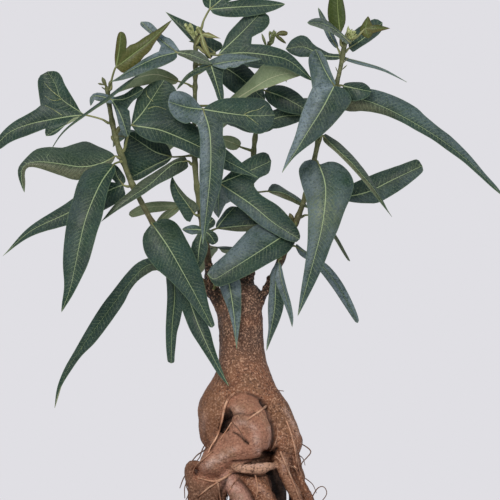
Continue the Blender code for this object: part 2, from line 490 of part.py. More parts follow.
LEAVES = [
    # Left stem
    leaf("leaf_left_01", "stem_left", (-110, -23, 451), (-130, -27, 457), [
        lobe(4.5, ROUND, (-147, -28, 449), (-163, -28, 440.5)),
        lobe(9.0, LONG, (-152, -28, 456), (-175, -26, 450), (-192, -24, 443), (-206, -22, 428)),
        lobe(14.0, SPOON, (-151, -26, 471), (-162, -24, 495), face=LEFT_UP),
    ], via=[(-118, -25, 454)], web=32),
    leaf("leaf_left_02", "stem_left", (-113, -25, 478), (-106.5, -29, 495), [
        lobe(4.5, STRAP, (-106, -30, 509), (-103.5, -30, 524)),
        lobe(3.0, BLADE, (-99, -29, 506), (-94, -28, 515)),
        lobe(6.0, BLADE, (-92, -29, 506), (-76, -27, 520), (-62, -24, 533)),
        lobe(4.5, BLADE, (-92, -26, 498), (-81, -24, 505)),
    ], via=[(-110, -27, 485)], web=12, young=True),
    leaf("leaf_left_03", "stem_left", (-112.5, -24, 468.5), (-110, -29, 469.5), [
        lobe(6.0, BLADE, (-104, -32, 460), (-100, -33, 450), (-97, -32, 441)),
        lobe(4.0, BLADE, (-119, -31, 472), (-125, -31, 471.5), (-127, -31, 465), face=LEFT_UP),
        lobe(6.0, SPOON, (-98, -22, 473), (-84, -10, 478.5)),
    ], web=9),
    leaf("leaf_left_04", "stem_left", (-103, -21.5, 428), (-94.4, -27, 449), [
        lobe(14.0, ROUND, (-84, -27, 461), (-68, -30, 485)),
        lobe(10.5, LONG, (-73.6, -28, 445), (-41, -25, 432.5), (-15, -23, 419), (6.4, -22, 407.6)),
    ], via=[(-97, -25, 441)], web=26),
    leaf("leaf_left_05", "stem_left", (-94, -18.5, 402), (-101, -19, 402), [
        lobe(12.0, HEART, (-115, -18, 396), (-144, -16, 380), (-175, -12, 365), (-197.5, -8, 345)),
        lobe(5.5, BLADE, (-106, -16, 409), (-108, -12, 418)),
    ], web=8),
    leaf("leaf_left_06", "stem_left", (-101.5, -21, 421), (-108, -30, 418), [
        lobe(16.5, LONG, (-119, -45, 403), (-128.5, -57, 379), (-136, -62, 352), (-142, -64, 326),
             (-148.5, -62, 301)),
    ], via=[(-104, -25, 420)]),
    leaf("leaf_left_07", "stem_left", (-102, -21.5, 424), (-107, -26, 424.5), [
        lobe(16.5, (0.45, 0.9), (-119, -28, 422.5), (-134, -30, 421.5), (-152, -31, 421.5),
             (-170, -31, 421), (-180.5, -31, 413), (-179, -31, 395.5), face=(-0.1, -1.0, 0.45)),
    ]),
    leaf("leaf_left_08", "stem_left", (-77, -14, 371), (-78, -24, 371), [
        lobe(17.5, HEART, (-70, -31, 359), (-56, -36, 337), (-42, -38, 313), (-29.5, -38, 289),
             face=(0.1, -1.0, 0.25)),
    ], via=[(-77.5, -19, 371.5)]),
    leaf("leaf_left_09", "stem_left", (-57, -10, 344), (-62, -16, 339), [
        lobe(7.5, LONG, (-52, -16, 318), (-41, -22, 290), (-29, -29, 264), (-16.8, -32, 242)),
        lobe(6.5, STRAP, (-60, -10, 315), (-62, -9, 290), (-63, -9, 259.5)),
        lobe(8.0, LONG, (-78, -12, 341), (-98, -6, 325), (-121, 0, 294), (-141, 3, 262), (-156, 4, 226)),
    ], web=20),
    leaf("leaf_left_10", "stem_left", (-107, -22, 440), (-98, 16, 441), [
        lobe(12.0, LONG, (-98, 34, 446), (-104, 60, 446), (-112, 86, 434), face=(-0.2, 0.3, 1.0)),
        lobe(12.0, LONG, (-90, 32, 445), (-82, 56, 443), (-76, 80, 430), face=(0.2, 0.3, 1.0)),
    ], via=[(-106, -8, 441), (-103, 5, 441)], web=18),
    # Centre stem
    leaf("leaf_centre_01", "stem_centre", (-44, -9, 480), (-57, -12, 484.5), [
        lobe(8.5, LONG, (-76, -16, 490), (-96, -30, 484), (-113, -43, 471), (-131, -50, 457.5),
             (-148, -54, 443), (-160, -55, 424), face=((0.1, 0.55, 0.8), (-0.6, 0.06, 0.7))),
    ], via=[(-50, -10, 482.5)]),
    leaf("leaf_centre_02", "stem_centre", (-43.5, -10, 503), (-58, -26, 507), [
        lobe(6.5, BLADE, (-75, -34, 502), (-95, -40, 492), (-111, -42, 482.5), face=LEFT_UP),
        lobe(5.5, ROUND, (-71, -19, 517), (-87, -13, 532), face=LEFT_UP),
        lobe(3.4, STRAP, (-47, -27, 505.5), (-34, -27, 501)),
    ], via=[(-50, -16, 505)], web=9),
    leaf("leaf_centre_03", "stem_centre", (-43.5, -10, 490), (-31, -24, 497), [
        lobe(7.0, BLADE, (-27, -25, 484), (-22, -25, 466)),
        lobe(4.0, BLADE, (-42, -22, 494), (-59, -18, 478)),
        lobe(6.0, STRAP, (-14, -30, 500), (9, -32, 502), face=LEFT_UP),
    ], via=[(-37, -16, 493)], web=8),
    leaf("leaf_centre_04", "stem_centre", (-44.2, -8, 425), (-62, -4, 424.5), [
        lobe(9.0, BLADE, (-79, -2, 416.5), (-95, 0, 409)),
        lobe(10.5, BLADE, (-80, -5, 431.5), (-98, -8, 443)),
    ], via=[(-53, -6, 424.8)], web=27),
    leaf("leaf_centre_05", "stem_centre", (-44.3, -8, 418), (-50, -12, 421), [
        lobe(7.5, BLADE, (-63, -18, 416.5), (-78, -25, 405), (-97, -30, 390), (-118, -33, 372.5)),
    ]),
    leaf("leaf_centre_06", "stem_centre", (-39.5, -3.5, 378), (-44.5, -11, 379), [
        lobe(7.5, HEART, (-51, -11, 388), (-58, -12, 398), (-62, -12, 409)),
    ]),
    leaf("leaf_centre_07", "stem_centre", (-40.5, -4.5, 385), (-56, 5, 385.5), [
        lobe(3.8, BLADE, (-66, 7, 379), (-76, 9, 370), face=UNDER),
        lobe(4.8, STRAP, (-80, 6, 384.5), (-97, 6, 378), face=UNDER),
    ][::-1], via=[(-48, 1, 386)], web=8),
    leaf("leaf_centre_08", "stem_centre", (-37.5, -2, 367), (-38, -10, 366), [
        lobe(4.0, BLADE, (-32, -11, 360), (-29, -11, 352)),
        lobe(6.5, BLADE, (-42, -12, 352), (-42, -12, 335)),
        lobe(4.2, BLADE, (-46, -13, 366.5), (-54, -14, 366.5)),
    ], web=7),
    leaf("leaf_centre_09", "stem_centre", (-37, -1, 364), (-27, 1, 367), [
        lobe(6.5, ROUND, (-17, 1, 377), (-6, 2, 384.5)),
        lobe(4.5, BLADE, (-10, 0, 369), (10, -1, 370.5), face=(0.0, -0.7, 0.8)),
    ], web=14),
    leaf("leaf_centre_10", "stem_centre", (-42.2, -6, 400), (-24.3, -13, 403.2), [
        lobe(11.0, SPOON, (-4, -11, 411.5), (16, -8, 424)),
        lobe(10.0, BLADE, (-5, -15, 391), (17, -20, 374.5), (39.2, -24, 359)),
        lobe(5.5, BLADE, (-27, -15, 390), (-26, -14, 376)),
    ], via=[(-33, -10, 402)], web=24),
    leaf("leaf_centre_11", "stem_centre", (-44.3, -8.5, 458), (-37.2, -34, 461.6), [
        lobe(13.0, SPOON, (-50, -37, 463), (-65, -40, 467.5), face=LEFT_UP),
        lobe(15.0, SPOON, (-18, -34, 458.5), (0, -34, 456.5), (19.5, -34, 456)),
        lobe(10.5, LONG, (-32, -38, 444), (-31, -43, 418), (-33.5, -45, 388), (-37.4, -44, 354.5)),
    ], via=[(-41, -20, 460)], web=13),
    leaf("leaf_centre_12", "stem_centre", (-41.2, -10, 527), (-32, -12, 542), [
        lobe(7.5, BLADE, (-31, -13, 556), (-27, -14, 571)),
        lobe(8.0, BLADE, (-19, -13, 553), (-3, -14, 565)),
        lobe(8.0, BLADE, (-12, -14, 543.5), (8, -14, 544.5), (28, -13, 546)),
    ], via=[(-37, -11, 533)], web=16),
    leaf("leaf_centre_13", "stem_centre", (-43, -10, 514), (-47, -5, 518), [
        lobe(7.0, HEART, (-55, -2, 528), (-67.5, 1, 540.5)),
    ]),
    leaf("leaf_centre_14", "stem_centre", (-43, -10, 512), (-25.6, -17, 505.2), [
        lobe(11.0, SPOON, (-9, -15, 519), (11, -10, 541)),
        lobe(8.5, BLADE, (-5, -19, 507), (17, -21, 504), (34, -20, 497.5), (50, -16, 485)),
    ], via=[(-35, -15, 506.5)], web=23),
    leaf("leaf_centre_15", "stem_centre", (-43.6, -10, 497), (-25, -3, 499), [
        lobe(13.0, BLADE, (-8, 3, 488), (12, 6, 470), face=(0.1, -1.0, 0.3)),
    ], via=[(-34, -5, 499.5)]),
    leaf("leaf_centre_16", "stem_centre", (-44, -9, 464), (-17, -4, 467), [
        lobe(9.5, BLADE, (0, -10, 477.5), (16, -12, 485), (30, -11, 489.5), (42.5, -9, 491), face=UNDER),
    ], via=[(-30, -6, 465.5)]),
    leaf("leaf_centre_17", "trunk", (-32, -3, 318), (-20, -18, 334), [
        lobe(8.5, LONG, (-16, -22, 320), (-12.5, -25, 297), (-10.5, -26, 271), face=(-0.3, -1.0, 0.2)),
    ], via=[(-28, -13, 327)]),
    leaf("leaf_centre_18", "stem_centre", (-44.5, -8, 436), (-50, 12, 440), [
        lobe(13.0, LONG, (-58, 34, 444), (-66, 66, 440), (-72, 98, 426), face=(0.0, 0.3, 1.0)),
        lobe(11.0, LONG, (-44, 34, 442), (-38, 62, 436), (-36, 92, 420), face=(0.2, 0.3, 1.0)),
    ], via=[(-47, 2, 438)], web=20),
    leaf("leaf_centre_19", "stem_centre", (-35, 0, 353), (-28, 16, 352), [
        lobe(11.0, BLADE, (-36, 36, 352), (-40, 62, 346), (-42, 86, 330), face=(-0.2, 0.3, 1.0)),
        lobe(12.0, BLADE, (-14, 34, 352), (-4, 60, 346), (2, 88, 334), face=(0.2, 0.3, 1.0)),
    ], via=[(-32, 8, 353)], web=20),
    # Back stem
    leaf("leaf_back_01", "stem_back", (9.2, 28, 480), (12, 15, 478), [
        lobe(10.5, BLADE, (28, 11, 472), (49, 8, 460)),
    ], via=[(10, 21, 479)]),
    leaf("leaf_back_02", "stem_back", (5.5, 27, 452), (10, 19, 452), [
        lobe(8.5, BLADE, (27, 20, 457.5), (46, 20, 458)),
    ]),
    leaf("leaf_back_03", "stem_back", (1, 21, 398), (14, 8, 397), [
        lobe(5.0, SPOON, (28, 6, 395), (48, 8, 383), face=(0.2, -0.8, 0.7)),
    ], via=[(6, 14, 396.5)]),
    leaf("leaf_back_04", "stem_back", (3, 24.5, 429), (-8, 18, 433), [
        lobe(6.0, BLADE, (-16, 14, 437), (-26, 10, 440), face=UNDER),
    ]),
    leaf("leaf_back_05", "stem_back", (4, 26, 440), (8, 42, 446), [
        lobe(12.0, LONG, (-6, 60, 456), (-18, 88, 458), (-24, 114, 449), face=(-0.2, 0.1, 1.0)),
        lobe(9.5, LONG, (14, 62, 456), (14, 90, 459), (10, 118, 450), face=(0.1, 0.1, 1.0)),
    ], via=[(5, 34, 443)], web=16),
    leaf("leaf_back_06", "stem_back", (11, 28, 492), (12, 44, 498), [
        lobe(10.5, LONG, (2, 62, 504), (-6, 86, 502), (-10, 108, 488), face=(-0.2, 0.3, 1.0)),
        lobe(11.5, LONG, (20, 64, 504), (26, 90, 502), (30, 116, 488), face=(0.2, 0.3, 1.0)),
    ], via=[(11, 36, 495)], web=18),
    # Right stem
    leaf("leaf_right_01", "stem_right", (36.5, -6, 372), (35, -12, 366), [
        lobe(17.0, (0.32, 0.8), (17, -19, 355.5), (0, -27, 345), (-16, -31, 335.5), (-28, -31, 329),
             (-34, -30, 333)),
    ]),
    leaf("leaf_right_02", "stem_right", (50.5, -10, 419), (54, -20, 420), [
        lobe(21.0, HEART, (58.5, -29, 403), (57, -37, 372), (50, -41, 338), (37.8, -40, 297.5),
             face=(-0.05, -1.0, 0.25)),
    ], via=[(52, -15, 421)]),
    leaf("leaf_right_03", "stem_right", (44.5, -7.5, 394), (70, 1, 391.5), [
        lobe(9.5, STRAP, (93, 3, 396), (115, 5, 406.5), (138, 6, 417.5)),
    ], via=[(56, -1, 391)]),
    leaf("leaf_right_04", "stem_right", (54.5, -12, 437), (58, -18, 441), [
        lobe(6.5, STRAP, (75, -22, 428.5), (90, -24, 411.5), (104, -25, 392), (113, -25, 376),
             face=(0.65, -0.35, 0.5)),
    ]),
    leaf("leaf_right_05", "stem_right", (68.5, -16, 482), (74, -11, 481), [
        lobe(7.0, ROUND, (85, -14, 479.5), (97, -15, 477), face=(0.2, -0.9, 0.6)),
        lobe(11.0, LONG, (94, -8, 473.5), (118, -9, 465), (142, -11, 450.5), (166, -12, 432),
             (186, -11, 412.5), (203, -9, 392)),
    ], web=12),
    leaf("leaf_right_06", "stem_right", (68, -16, 480), (67, -26, 480.5), [
        lobe(15.0, HEART, (57, -32, 461.5), (46, -38, 444), (36, -42, 427.5), (25.5, -43, 411)),
        lobe(9.0, SPOON, (60, -27, 492), (51, -27, 510), face=LEFT_UP),
    ], web=16),
    leaf("leaf_right_07", "stem_right", (73.5, -16, 503), (72, -9, 504), [
        lobe(8.5, SPOON, (57, -2, 507), (43, 3, 513.5), (28.5, 5, 511)),
        lobe(3.4, LONG, (90, -8, 499.5), (107, -9, 494), (125, -10, 484), face=(0.3, -0.5, 1.0)),
    ], web=4),
    leaf("leaf_right_08", "stem_right", (75.5, -16, 513), (72, -18.5, 522), [
        lobe(7.0, BLADE, (70, -19, 540), (69, -19, 567)),
    ], young=True),
    leaf("leaf_right_09", "stem_right", (75.8, -16, 516), (74, -24, 518), [
        lobe(5.0, BLADE, (67, -27, 525.5), (58, -29, 530), (45.5, -30, 530.5), face=(-0.2, -0.6, 0.9)),
    ]),
    leaf("leaf_right_10", "stem_right", (74, -16, 506), (70, -8, 511), [
        lobe(3.0, BLADE, (65, -3, 520), (60, -1, 531), (54.5, 0, 544)),
    ]),
    leaf("leaf_right_11", "stem_right", (74.5, -16, 508), (79, -9, 511), [
        lobe(8.5, SPOON, (90, -4, 518.5), (106, 1, 532)),
    ]),
    leaf("leaf_right_12", "stem_right", (76.5, -16, 519), (92, -21, 526), [
        lobe(2.6, BLADE, (93, -21, 531), (94, -21, 536.5)),
        lobe(2.8, BLADE, (101, -22, 527), (111.5, -22, 526.5)),
        lobe(2.6, BLADE, (94, -22, 522), (95, -22, 518)),
    ], via=[(84, -22, 519)], web=4, young=True),
    leaf("leaf_right_13", "stem_right", (25, -5, 343), (23, -13, 342), [
        lobe(5.5, LONG, (26, -18, 325), (31, -21, 306), (33.6, -21, 288.5)),
        lobe(7.0, LONG, (20.5, -15, 325), (19, -15, 300), (13.2, -14, 269.5)),
    ], web=9),
    leaf("leaf_right_14", "stem_right", (30, -5.5, 355), (36, 0, 353), [
        lobe(5.5, STRAP, (50, 4, 344.5), (64, 7, 330), (76, 9, 312), (86.5, 10, 291.5)),
    ]),
    leaf("leaf_right_15", "stem_right", (38.5, -6.5, 377), (52, 5, 376), [
        lobe(2.8, STRAP, (66, 10, 365), (80.2, 12, 341), face=(0.8, -0.5, 0.4)),
    ], via=[(45, 0, 378)]),
    leaf("leaf_right_16", "stem_right", (60.5, -14.5, 462), (62, 6, 464), [
        lobe(11.0, LONG, (53, 27, 470), (40, 50, 472), (30, 76, 461), face=(-0.2, 0.1, 1.0)),
        lobe(9.0, LONG, (68, 30, 470), (68, 58, 471), (64, 86, 460), face=(0.1, 0.1, 1.0)),
    ], via=[(61, -6, 463)], web=14),
    leaf("leaf_right_17", "stem_right", (47.5, -9, 405), (52, 8, 406), [
        lobe(13.0, LONG, (58, 32, 402), (62, 62, 390), (64, 90, 370), face=(0.2, 0.4, 1.0)),
    ], via=[(49, 0, 406)]),
]

WEB_ROWS = 2
FREE_ROWS = 4
SHORT_FREE_ROWS = 3
SHORT_LOBE = 34.0
SIMPLE_ROWS = 7
BLUNT_FALL = 0.6


def width_share(share, outline):
    """A lobe's width at a share of its length, as a share of its widest."""
    rise, fall = outline
    peak = rise / (rise + fall)
    share = np.clip(share, 0.0, 1.0)
    return (share / peak) ** rise * ((1 - share) / (1 - peak)) ** fall


def lobe_distances(length, web, simple, blunt):
    """Where the rows of a lobe lie along its midrib: closer at its base and at a blunt tip."""
    if simple:
        rows = np.linspace(0.0, 1.0, SIMPLE_ROWS + 1)
        return length * (3 * rows**2 - 2 * rows**3 if blunt else rows**1.4)
    near = web * np.arange(WEB_ROWS + 1) / WEB_ROWS
    count = SHORT_FREE_ROWS if length < SHORT_LOBE else FREE_ROWS
    rows = np.arange(1, count + 1) / count
    rows = 1 - (1 - rows) ** 1.7 if blunt else rows
    return np.concatenate([near, web + (length - web) * rows])


def lobe_frame(part, joint, web, simple):
    """The midrib of a lobe with its side direction, face direction and half width per row."""
    curve = smooth_curve([joint, *part["points"]])
    length = curve[1][-1]
    web = min(web, 0.6 * length)
    distances = lobe_distances(length, web, simple, part["outline"][1] < BLUNT_FALL)
    middle = points_along(curve, distances)
    ahead = points_along(curve, np.clip(distances + 1.0, 0.0, length))
    behind = points_along(curve, np.clip(distances - 1.0, 0.0, length))
    share = (distances / length)[:, None]
    face = (1 - share) * unit(part["faces"][0]) + share * unit(part["faces"][1])
    along = ahead - behind
    along /= np.linalg.norm(along, axis=1)[:, None]
    side = np.cross(along, face)
    side /= np.linalg.norm(side, axis=1)[:, None]
    normal = np.cross(side, along)
    half = part["half_width"] * width_share(distances / length, part["outline"])
    return {
        "middle": middle, "side": side, "normal": normal,
        "half": half, "distances": distances, "web": web,
    }


def edge_points(frame, sign, fold, neighbour):
    """The rim on one side. Up to the web it is shared with the neighbouring lobe."""
    half = frame["half"].copy()
    shared = None
    if neighbour is not None:
        shared = (frame["middle"][: WEB_ROWS + 1] + neighbour["middle"][: WEB_ROWS + 1]) / 2
        reach = np.linalg.norm(shared[WEB_ROWS] - frame["middle"][WEB_ROWS])
        beyond = np.maximum(frame["distances"] - frame["web"], 0.0)
        fade = np.exp(-beyond / (0.4 * frame["web"]))
        half += (reach - half[WEB_ROWS]) * fade * (half > 0)
    lean = math.radians(fold)
    rim = frame["middle"] + sign * frame["side"] * (half * math.cos(lean))[:, None]
    rim += frame["normal"] * (half * math.sin(lean))[:, None]
    if shared is not None:
        rim[: WEB_ROWS + 1] = shared
    return rim


def add_lobe(shape, frame, left, right):
    """A strip of the blade: left rim, midrib and right rim, row by row."""
    rows = len(frame["middle"])
    made = bmesh.ops.create_grid(shape, x_segments=2, y_segments=rows - 1, size=1.0)
    verts = sorted(made["verts"], key=lambda v: (round(v.co.y, 5), round(v.co.x, 5)))
    for row in range(rows):
        for column, rim in enumerate((left, frame["middle"], right)):
            verts[3 * row + column].co = rim[row] * MM


def blade(spec, collection):
    """The leaf blade: its lobes as strips, merged where they share a rim, then thickened."""
    lobes = spec["lobes"]
    simple = len(lobes) == 1
    frames = [lobe_frame(part, spec["joint"], spec["web"], simple) for part in lobes]
    shape = bmesh.new()
    for k, (part, frame) in enumerate(zip(lobes, frames)):
        before = frames[k - 1] if k > 0 else None
        after = frames[k + 1] if k + 1 < len(frames) else None
        left = edge_points(frame, -1, part["fold"], before)
        right = edge_points(frame, 1, part["fold"], after)
        add_lobe(shape, frame, left, right)
    bmesh.ops.remove_doubles(shape, verts=shape.verts, dist=0.02 * MM)
    bmesh.ops.triangulate(shape, faces=shape.faces)
    mesh = bpy.data.meshes.new("blade")
    shape.to_mesh(mesh)
    shape.free()
    piece = add_object("blade", mesh, collection)
    wall = piece.modifiers.new("Thickness", "SOLIDIFY")
    wall.thickness = LEAF_THICKNESS * MM
    wall.offset = 0.0
    return piece


def carrier_axis(name, seat):
    """The nearest point on the carrying stem's axis, its direction and its radius there."""
    points = BRANCH_LEFT if name == "trunk" else STEMS[name]
    dense, _ = smooth_curve(points)
    gaps = np.linalg.norm(dense[:, :3] - np.array(seat, float), axis=1)
    k = int(np.clip(np.argmin(gaps), 1, len(dense) - 2))
    return dense[k, :3], unit(dense[k + 1, :3] - dense[k - 1, :3]), dense[k, 3]


def stalk(spec, collection):
    """The leaf stalk, from just clear of its stem to just inside the blade."""
    axis, along, radius = carrier_axis(spec["carrier"], spec["seat"])
    target = np.array((*spec["via"], spec["joint"])[0], float)
    outward = target - axis
    outward = unit(outward - along * np.dot(outward, along))
    start = axis + outward * (radius + GAP)
    first = spec["lobes"][len(spec["lobes"]) // 2]
    inward = unit(np.array(first["points"][0], float) - np.array(spec["joint"], float))
    joint = np.array(spec["joint"], float)
    points = [start, start + outward * 1.2, *spec["via"], joint, joint + inward * 2.5]
    radii = np.linspace(STALK_RADIUS * 1.25, STALK_RADIUS, len(points))
    radii[-1] = 0.5 * STALK_RADIUS
    return tube([(*p, r) for p, r in zip(points, radii)], collection, 0)


def build_leaves(parts, leaf_green, young_green):
    for spec in LEAVES:
        piece = joined(spec["name"], blade(spec, parts), [stalk(spec, parts)], parts)
        piece.data.materials.append(young_green if spec["young"] else leaf_green)


def main():
    for old in list(bpy.data.objects):
        bpy.data.objects.remove(old, do_unlink=True)
    scene = bpy.context.scene
    groups = {}
    for name in (OBJECT_NAME, "drain_cutters", "root_cutters"):
        groups[name] = bpy.data.collections.new(name)
        scene.collection.children.link(groups[name])
    parts = groups[OBJECT_NAME]
    build_pot(parts, groups["drain_cutters"])
    build_soil(parts, groups["root_cutters"])
    build_trunk(parts)
    build_stems(parts, make_material("stem_skin", STEM_GREEN))
    build_leaves(parts, make_material("leaf_green", LEAF_GREEN), make_material("young_leaf", YOUNG_GREEN))
    for piece in parts.objects:
        if not piece.name.startswith("leaf"):
            piece.data.shade_smooth()
            piece.data.set_sharp_from_angle(angle=math.radians(35))


main()
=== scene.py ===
# %% [markdown]
# # A potted bottle tree
#
# The plant has a swollen, bottle-shaped trunk that stands on a knot of thick bare roots,
# four thin stems, and long pointed leaves, some of them lobed. The packed CAD model is
# the frame: it says where each piece is and how large it is. This script grows finer
# pieces in the same places and gives them their colours.
#
# Lengths in the tables are millimetres. X runs to the right, Y away from the camera and
# Z up. The origin is the middle of the pot's underside.

import math

import bmesh
import bpy
import numpy as np
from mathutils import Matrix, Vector, noise
from mathutils.bvhtree import BVHTree


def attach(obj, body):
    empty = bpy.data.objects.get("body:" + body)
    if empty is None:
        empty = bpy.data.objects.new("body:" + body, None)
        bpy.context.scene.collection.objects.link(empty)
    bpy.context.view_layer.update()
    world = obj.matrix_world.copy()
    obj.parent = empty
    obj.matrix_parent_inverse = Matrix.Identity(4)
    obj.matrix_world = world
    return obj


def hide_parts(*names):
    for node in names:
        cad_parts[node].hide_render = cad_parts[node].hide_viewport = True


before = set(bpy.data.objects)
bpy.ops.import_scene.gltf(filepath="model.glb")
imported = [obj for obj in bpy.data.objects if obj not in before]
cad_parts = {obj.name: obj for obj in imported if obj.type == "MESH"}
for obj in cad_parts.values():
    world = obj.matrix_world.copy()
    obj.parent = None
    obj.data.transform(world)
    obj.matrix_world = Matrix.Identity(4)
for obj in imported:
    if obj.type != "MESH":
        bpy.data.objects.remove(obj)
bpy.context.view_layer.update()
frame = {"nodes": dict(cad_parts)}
MM = 0.001

# %% [markdown]
# ## The camera
#
# A plant is photographed from some distance with a long lens, so that near and far leaves
# keep their true sizes. The camera is level with the middle of the crown, and its view is
# 400 mm wide at the trunk. The pot lies just below the picture.

# %% Camera
CAMERA_DISTANCE = 4.0
CAMERA_HEIGHT = 0.35
VIEW_WIDTH = 0.4
SENSOR_WIDTH = 36.0

bpy.ops.object.camera_add(
    location=(0.0, -CAMERA_DISTANCE, CAMERA_HEIGHT), rotation=(math.radians(90), 0.0, 0.0)
)
camera = bpy.context.object
camera.data.sensor_width = SENSOR_WIDTH
camera.data.lens = SENSOR_WIDTH * CAMERA_DISTANCE / VIEW_WIDTH
bpy.context.scene.camera = camera
print("lens:", camera.data.lens, "mm")

# %% [markdown]
# ## Light and backdrop
#
# The plant stands in a pale studio. The backdrop is the world itself, pale grey to the
# camera. For the leaves the same world is brighter on the left and above, because a leaf's
# sheen is a reflection of what surrounds it. One large soft lamp in front and above, a
# little to the left, is the key light, and a weaker one on the right fills the shadows. A
# floor disc catches the pot's shadow in the views that reach it.

# %% Colours as they are read from a screen
def rgb(red, green, blue):
    """A screen colour, 0 to 255 a channel, as the linear colour that a shader takes."""
    linear = []
    for channel in (red, green, blue):
        share = channel / 255
        linear.append(share / 12.92 if share <= 0.04045 else ((share + 0.055) / 1.055) ** 2.4)
    return (*linear, 1.0)


def node(tree, kind, inputs=None, **settings):
    """A new node. An input takes a number, a colour or another node's output."""
    made = tree.nodes.new(kind)
    for name, value in settings.items():
        setattr(made, name, value)
    for name, value in (inputs or {}).items():
        if isinstance(value, bpy.types.NodeSocket):
            tree.links.new(value, made.inputs[name])
        else:
            made.inputs[name].default_value = value
    return made


BACKDROP = rgb(224, 223, 228)
print("backdrop:", [round(channel, 3) for channel in BACKDROP[:3]])

# %% World
bpy.context.scene.view_settings.view_transform = "Standard"
world = bpy.data.worlds.new("studio")
bpy.context.scene.world = world
world.use_nodes = True
sky = world.node_tree
sky.nodes.clear()
direction = node(sky, "ShaderNodeTexCoord").outputs["Generated"]
split = node(sky, "ShaderNodeSeparateXYZ", {"Vector": direction})
leftness = node(sky, "ShaderNodeMapRange", {
    "Value": split.outputs["X"], "From Min": 0.9, "From Max": -0.9, "To Min": 0.36, "To Max": 0.6,
})
upness = node(sky, "ShaderNodeMapRange", {
    "Value": split.outputs["Z"], "From Min": -0.3, "From Max": 0.9, "To Min": 0.5, "To Max": 1.25,
})
strength = node(sky, "ShaderNodeMath", {
    0: leftness.outputs["Result"], 1: upness.outputs["Result"],
}, operation="MULTIPLY")
around = node(sky, "ShaderNodeBackground", {
    "Color": rgb(228, 238, 248), "Strength": strength.outputs["Value"],
})
backdrop = node(sky, "ShaderNodeBackground", {"Color": BACKDROP, "Strength": 1.0})
seen = node(sky, "ShaderNodeLightPath").outputs["Is Camera Ray"]
mixed = node(sky, "ShaderNodeMixShader", {
    0: seen, 1: around.outputs["Background"], 2: backdrop.outputs["Background"],
})
node(sky, "ShaderNodeOutputWorld", {"Surface": mixed.outputs["Shader"]})
print("world:", len(sky.nodes), "nodes")

# %% Lamps
LAMP_AIM = Vector((0.0, 0.0, 0.35))


def soft_lamp(name, place, size, power, colour):
    """A square area lamp that faces the middle of the plant."""
    facing = (LAMP_AIM - Vector(place)).to_track_quat("-Z", "Y").to_euler()
    bpy.ops.object.light_add(type="AREA", location=place, rotation=facing)
    lamp = bpy.context.object
    lamp.name = name
    lamp.data.size = size
    lamp.data.energy = power
    lamp.data.color = colour[:3]
    print(name, power, "W")


soft_lamp("key_lamp", (-0.8, -2.2, 1.8), 1.1, 44.0, rgb(255, 249, 242))
soft_lamp("fill_lamp", (1.8, -1.9, 0.8), 1.2, 15.0, rgb(248, 250, 255))

# %% [markdown]
# ## Handling one piece at a time
#
# Blender's operators act on whatever is selected. These helpers select a piece, apply a
# modifier, merge vertices and join pieces. The last step of every piece is the same too:
# `settle` gives it its materials and puts it in the place of its node in the CAD model.
# Each step could be written out where it is needed, but one forgotten selection would
# change the wrong piece.

# %% Helpers for pieces
def only(piece):
    """Selects one object and makes it the active one."""
    bpy.ops.object.select_all(action="DESELECT")
    piece.select_set(True)
    bpy.context.view_layer.objects.active = piece
    return piece


def apply_modifier(piece, kind, **settings):
    """Adds a modifier with these settings and applies it."""
    only(piece)
    modifier = piece.modifiers.new(kind.title(), kind)
    for name, value in settings.items():
        setattr(modifier, name, value)
    bpy.ops.object.modifier_apply(modifier=modifier.name)
    return piece


def new_piece(name, data):
    """An object for a new mesh or curve, selected."""
    piece = bpy.data.objects.new(name, data)
    bpy.context.scene.collection.objects.link(piece)
    return only(piece)


def weld(piece, gap):
    """Merges the piece's vertices that are closer than the gap in millimetres."""
    only(piece)
    bpy.ops.object.mode_set(mode="EDIT")
    bpy.ops.mesh.select_all(action="SELECT")
    bpy.ops.mesh.remove_doubles(threshold=gap * MM)
    bpy.ops.object.mode_set(mode="OBJECT")


def join(pieces, name):
    """Several objects as one."""
    bpy.ops.object.select_all(action="DESELECT")
    for piece in pieces:
        piece.select_set(True)
    bpy.context.view_layer.objects.active = pieces[0]
    if len(pieces) > 1:
        bpy.ops.object.join()
    pieces[0].name = name
    pieces[0].data.name = name
    return pieces[0]


def settle(piece, cad_node, slot, *materials):
    """Gives a finished piece its materials and puts it in the place of its CAD node."""
    if materials:
        piece.data.materials.clear()
        for material in materials:
            piece.data.materials.append(material)
    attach(piece, "root")
    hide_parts(cad_node)
    return piece


def count(piece):
    """The piece's number of triangles."""
    return sum(len(polygon.vertices) - 2 for polygon in piece.data.polygons)


# %% Floor
FLOOR_RADIUS = 2.5
FLOOR_HEIGHT = -0.0005

bpy.ops.mesh.primitive_circle_add(
    vertices=96, radius=FLOOR_RADIUS, fill_type="NGON", location=(0, 0, FLOOR_HEIGHT))
floor = bpy.context.object
floor.name = "floor"
print("floor:", 2 * FLOOR_RADIUS, "m wide")

# %% [markdown]
# ## Materials
#
# Every skin on this plant is a mix of a few colours that change over different
# distances: broad patches, small mottling and fine specks. Photographs of bark and leaves
# could be laid on instead, but they blur close up and show seams. Here two shared node
# groups make masks from noise, and each material lays its colours one over another with
# them. The masks read object coordinates, so a pattern stays with its piece.

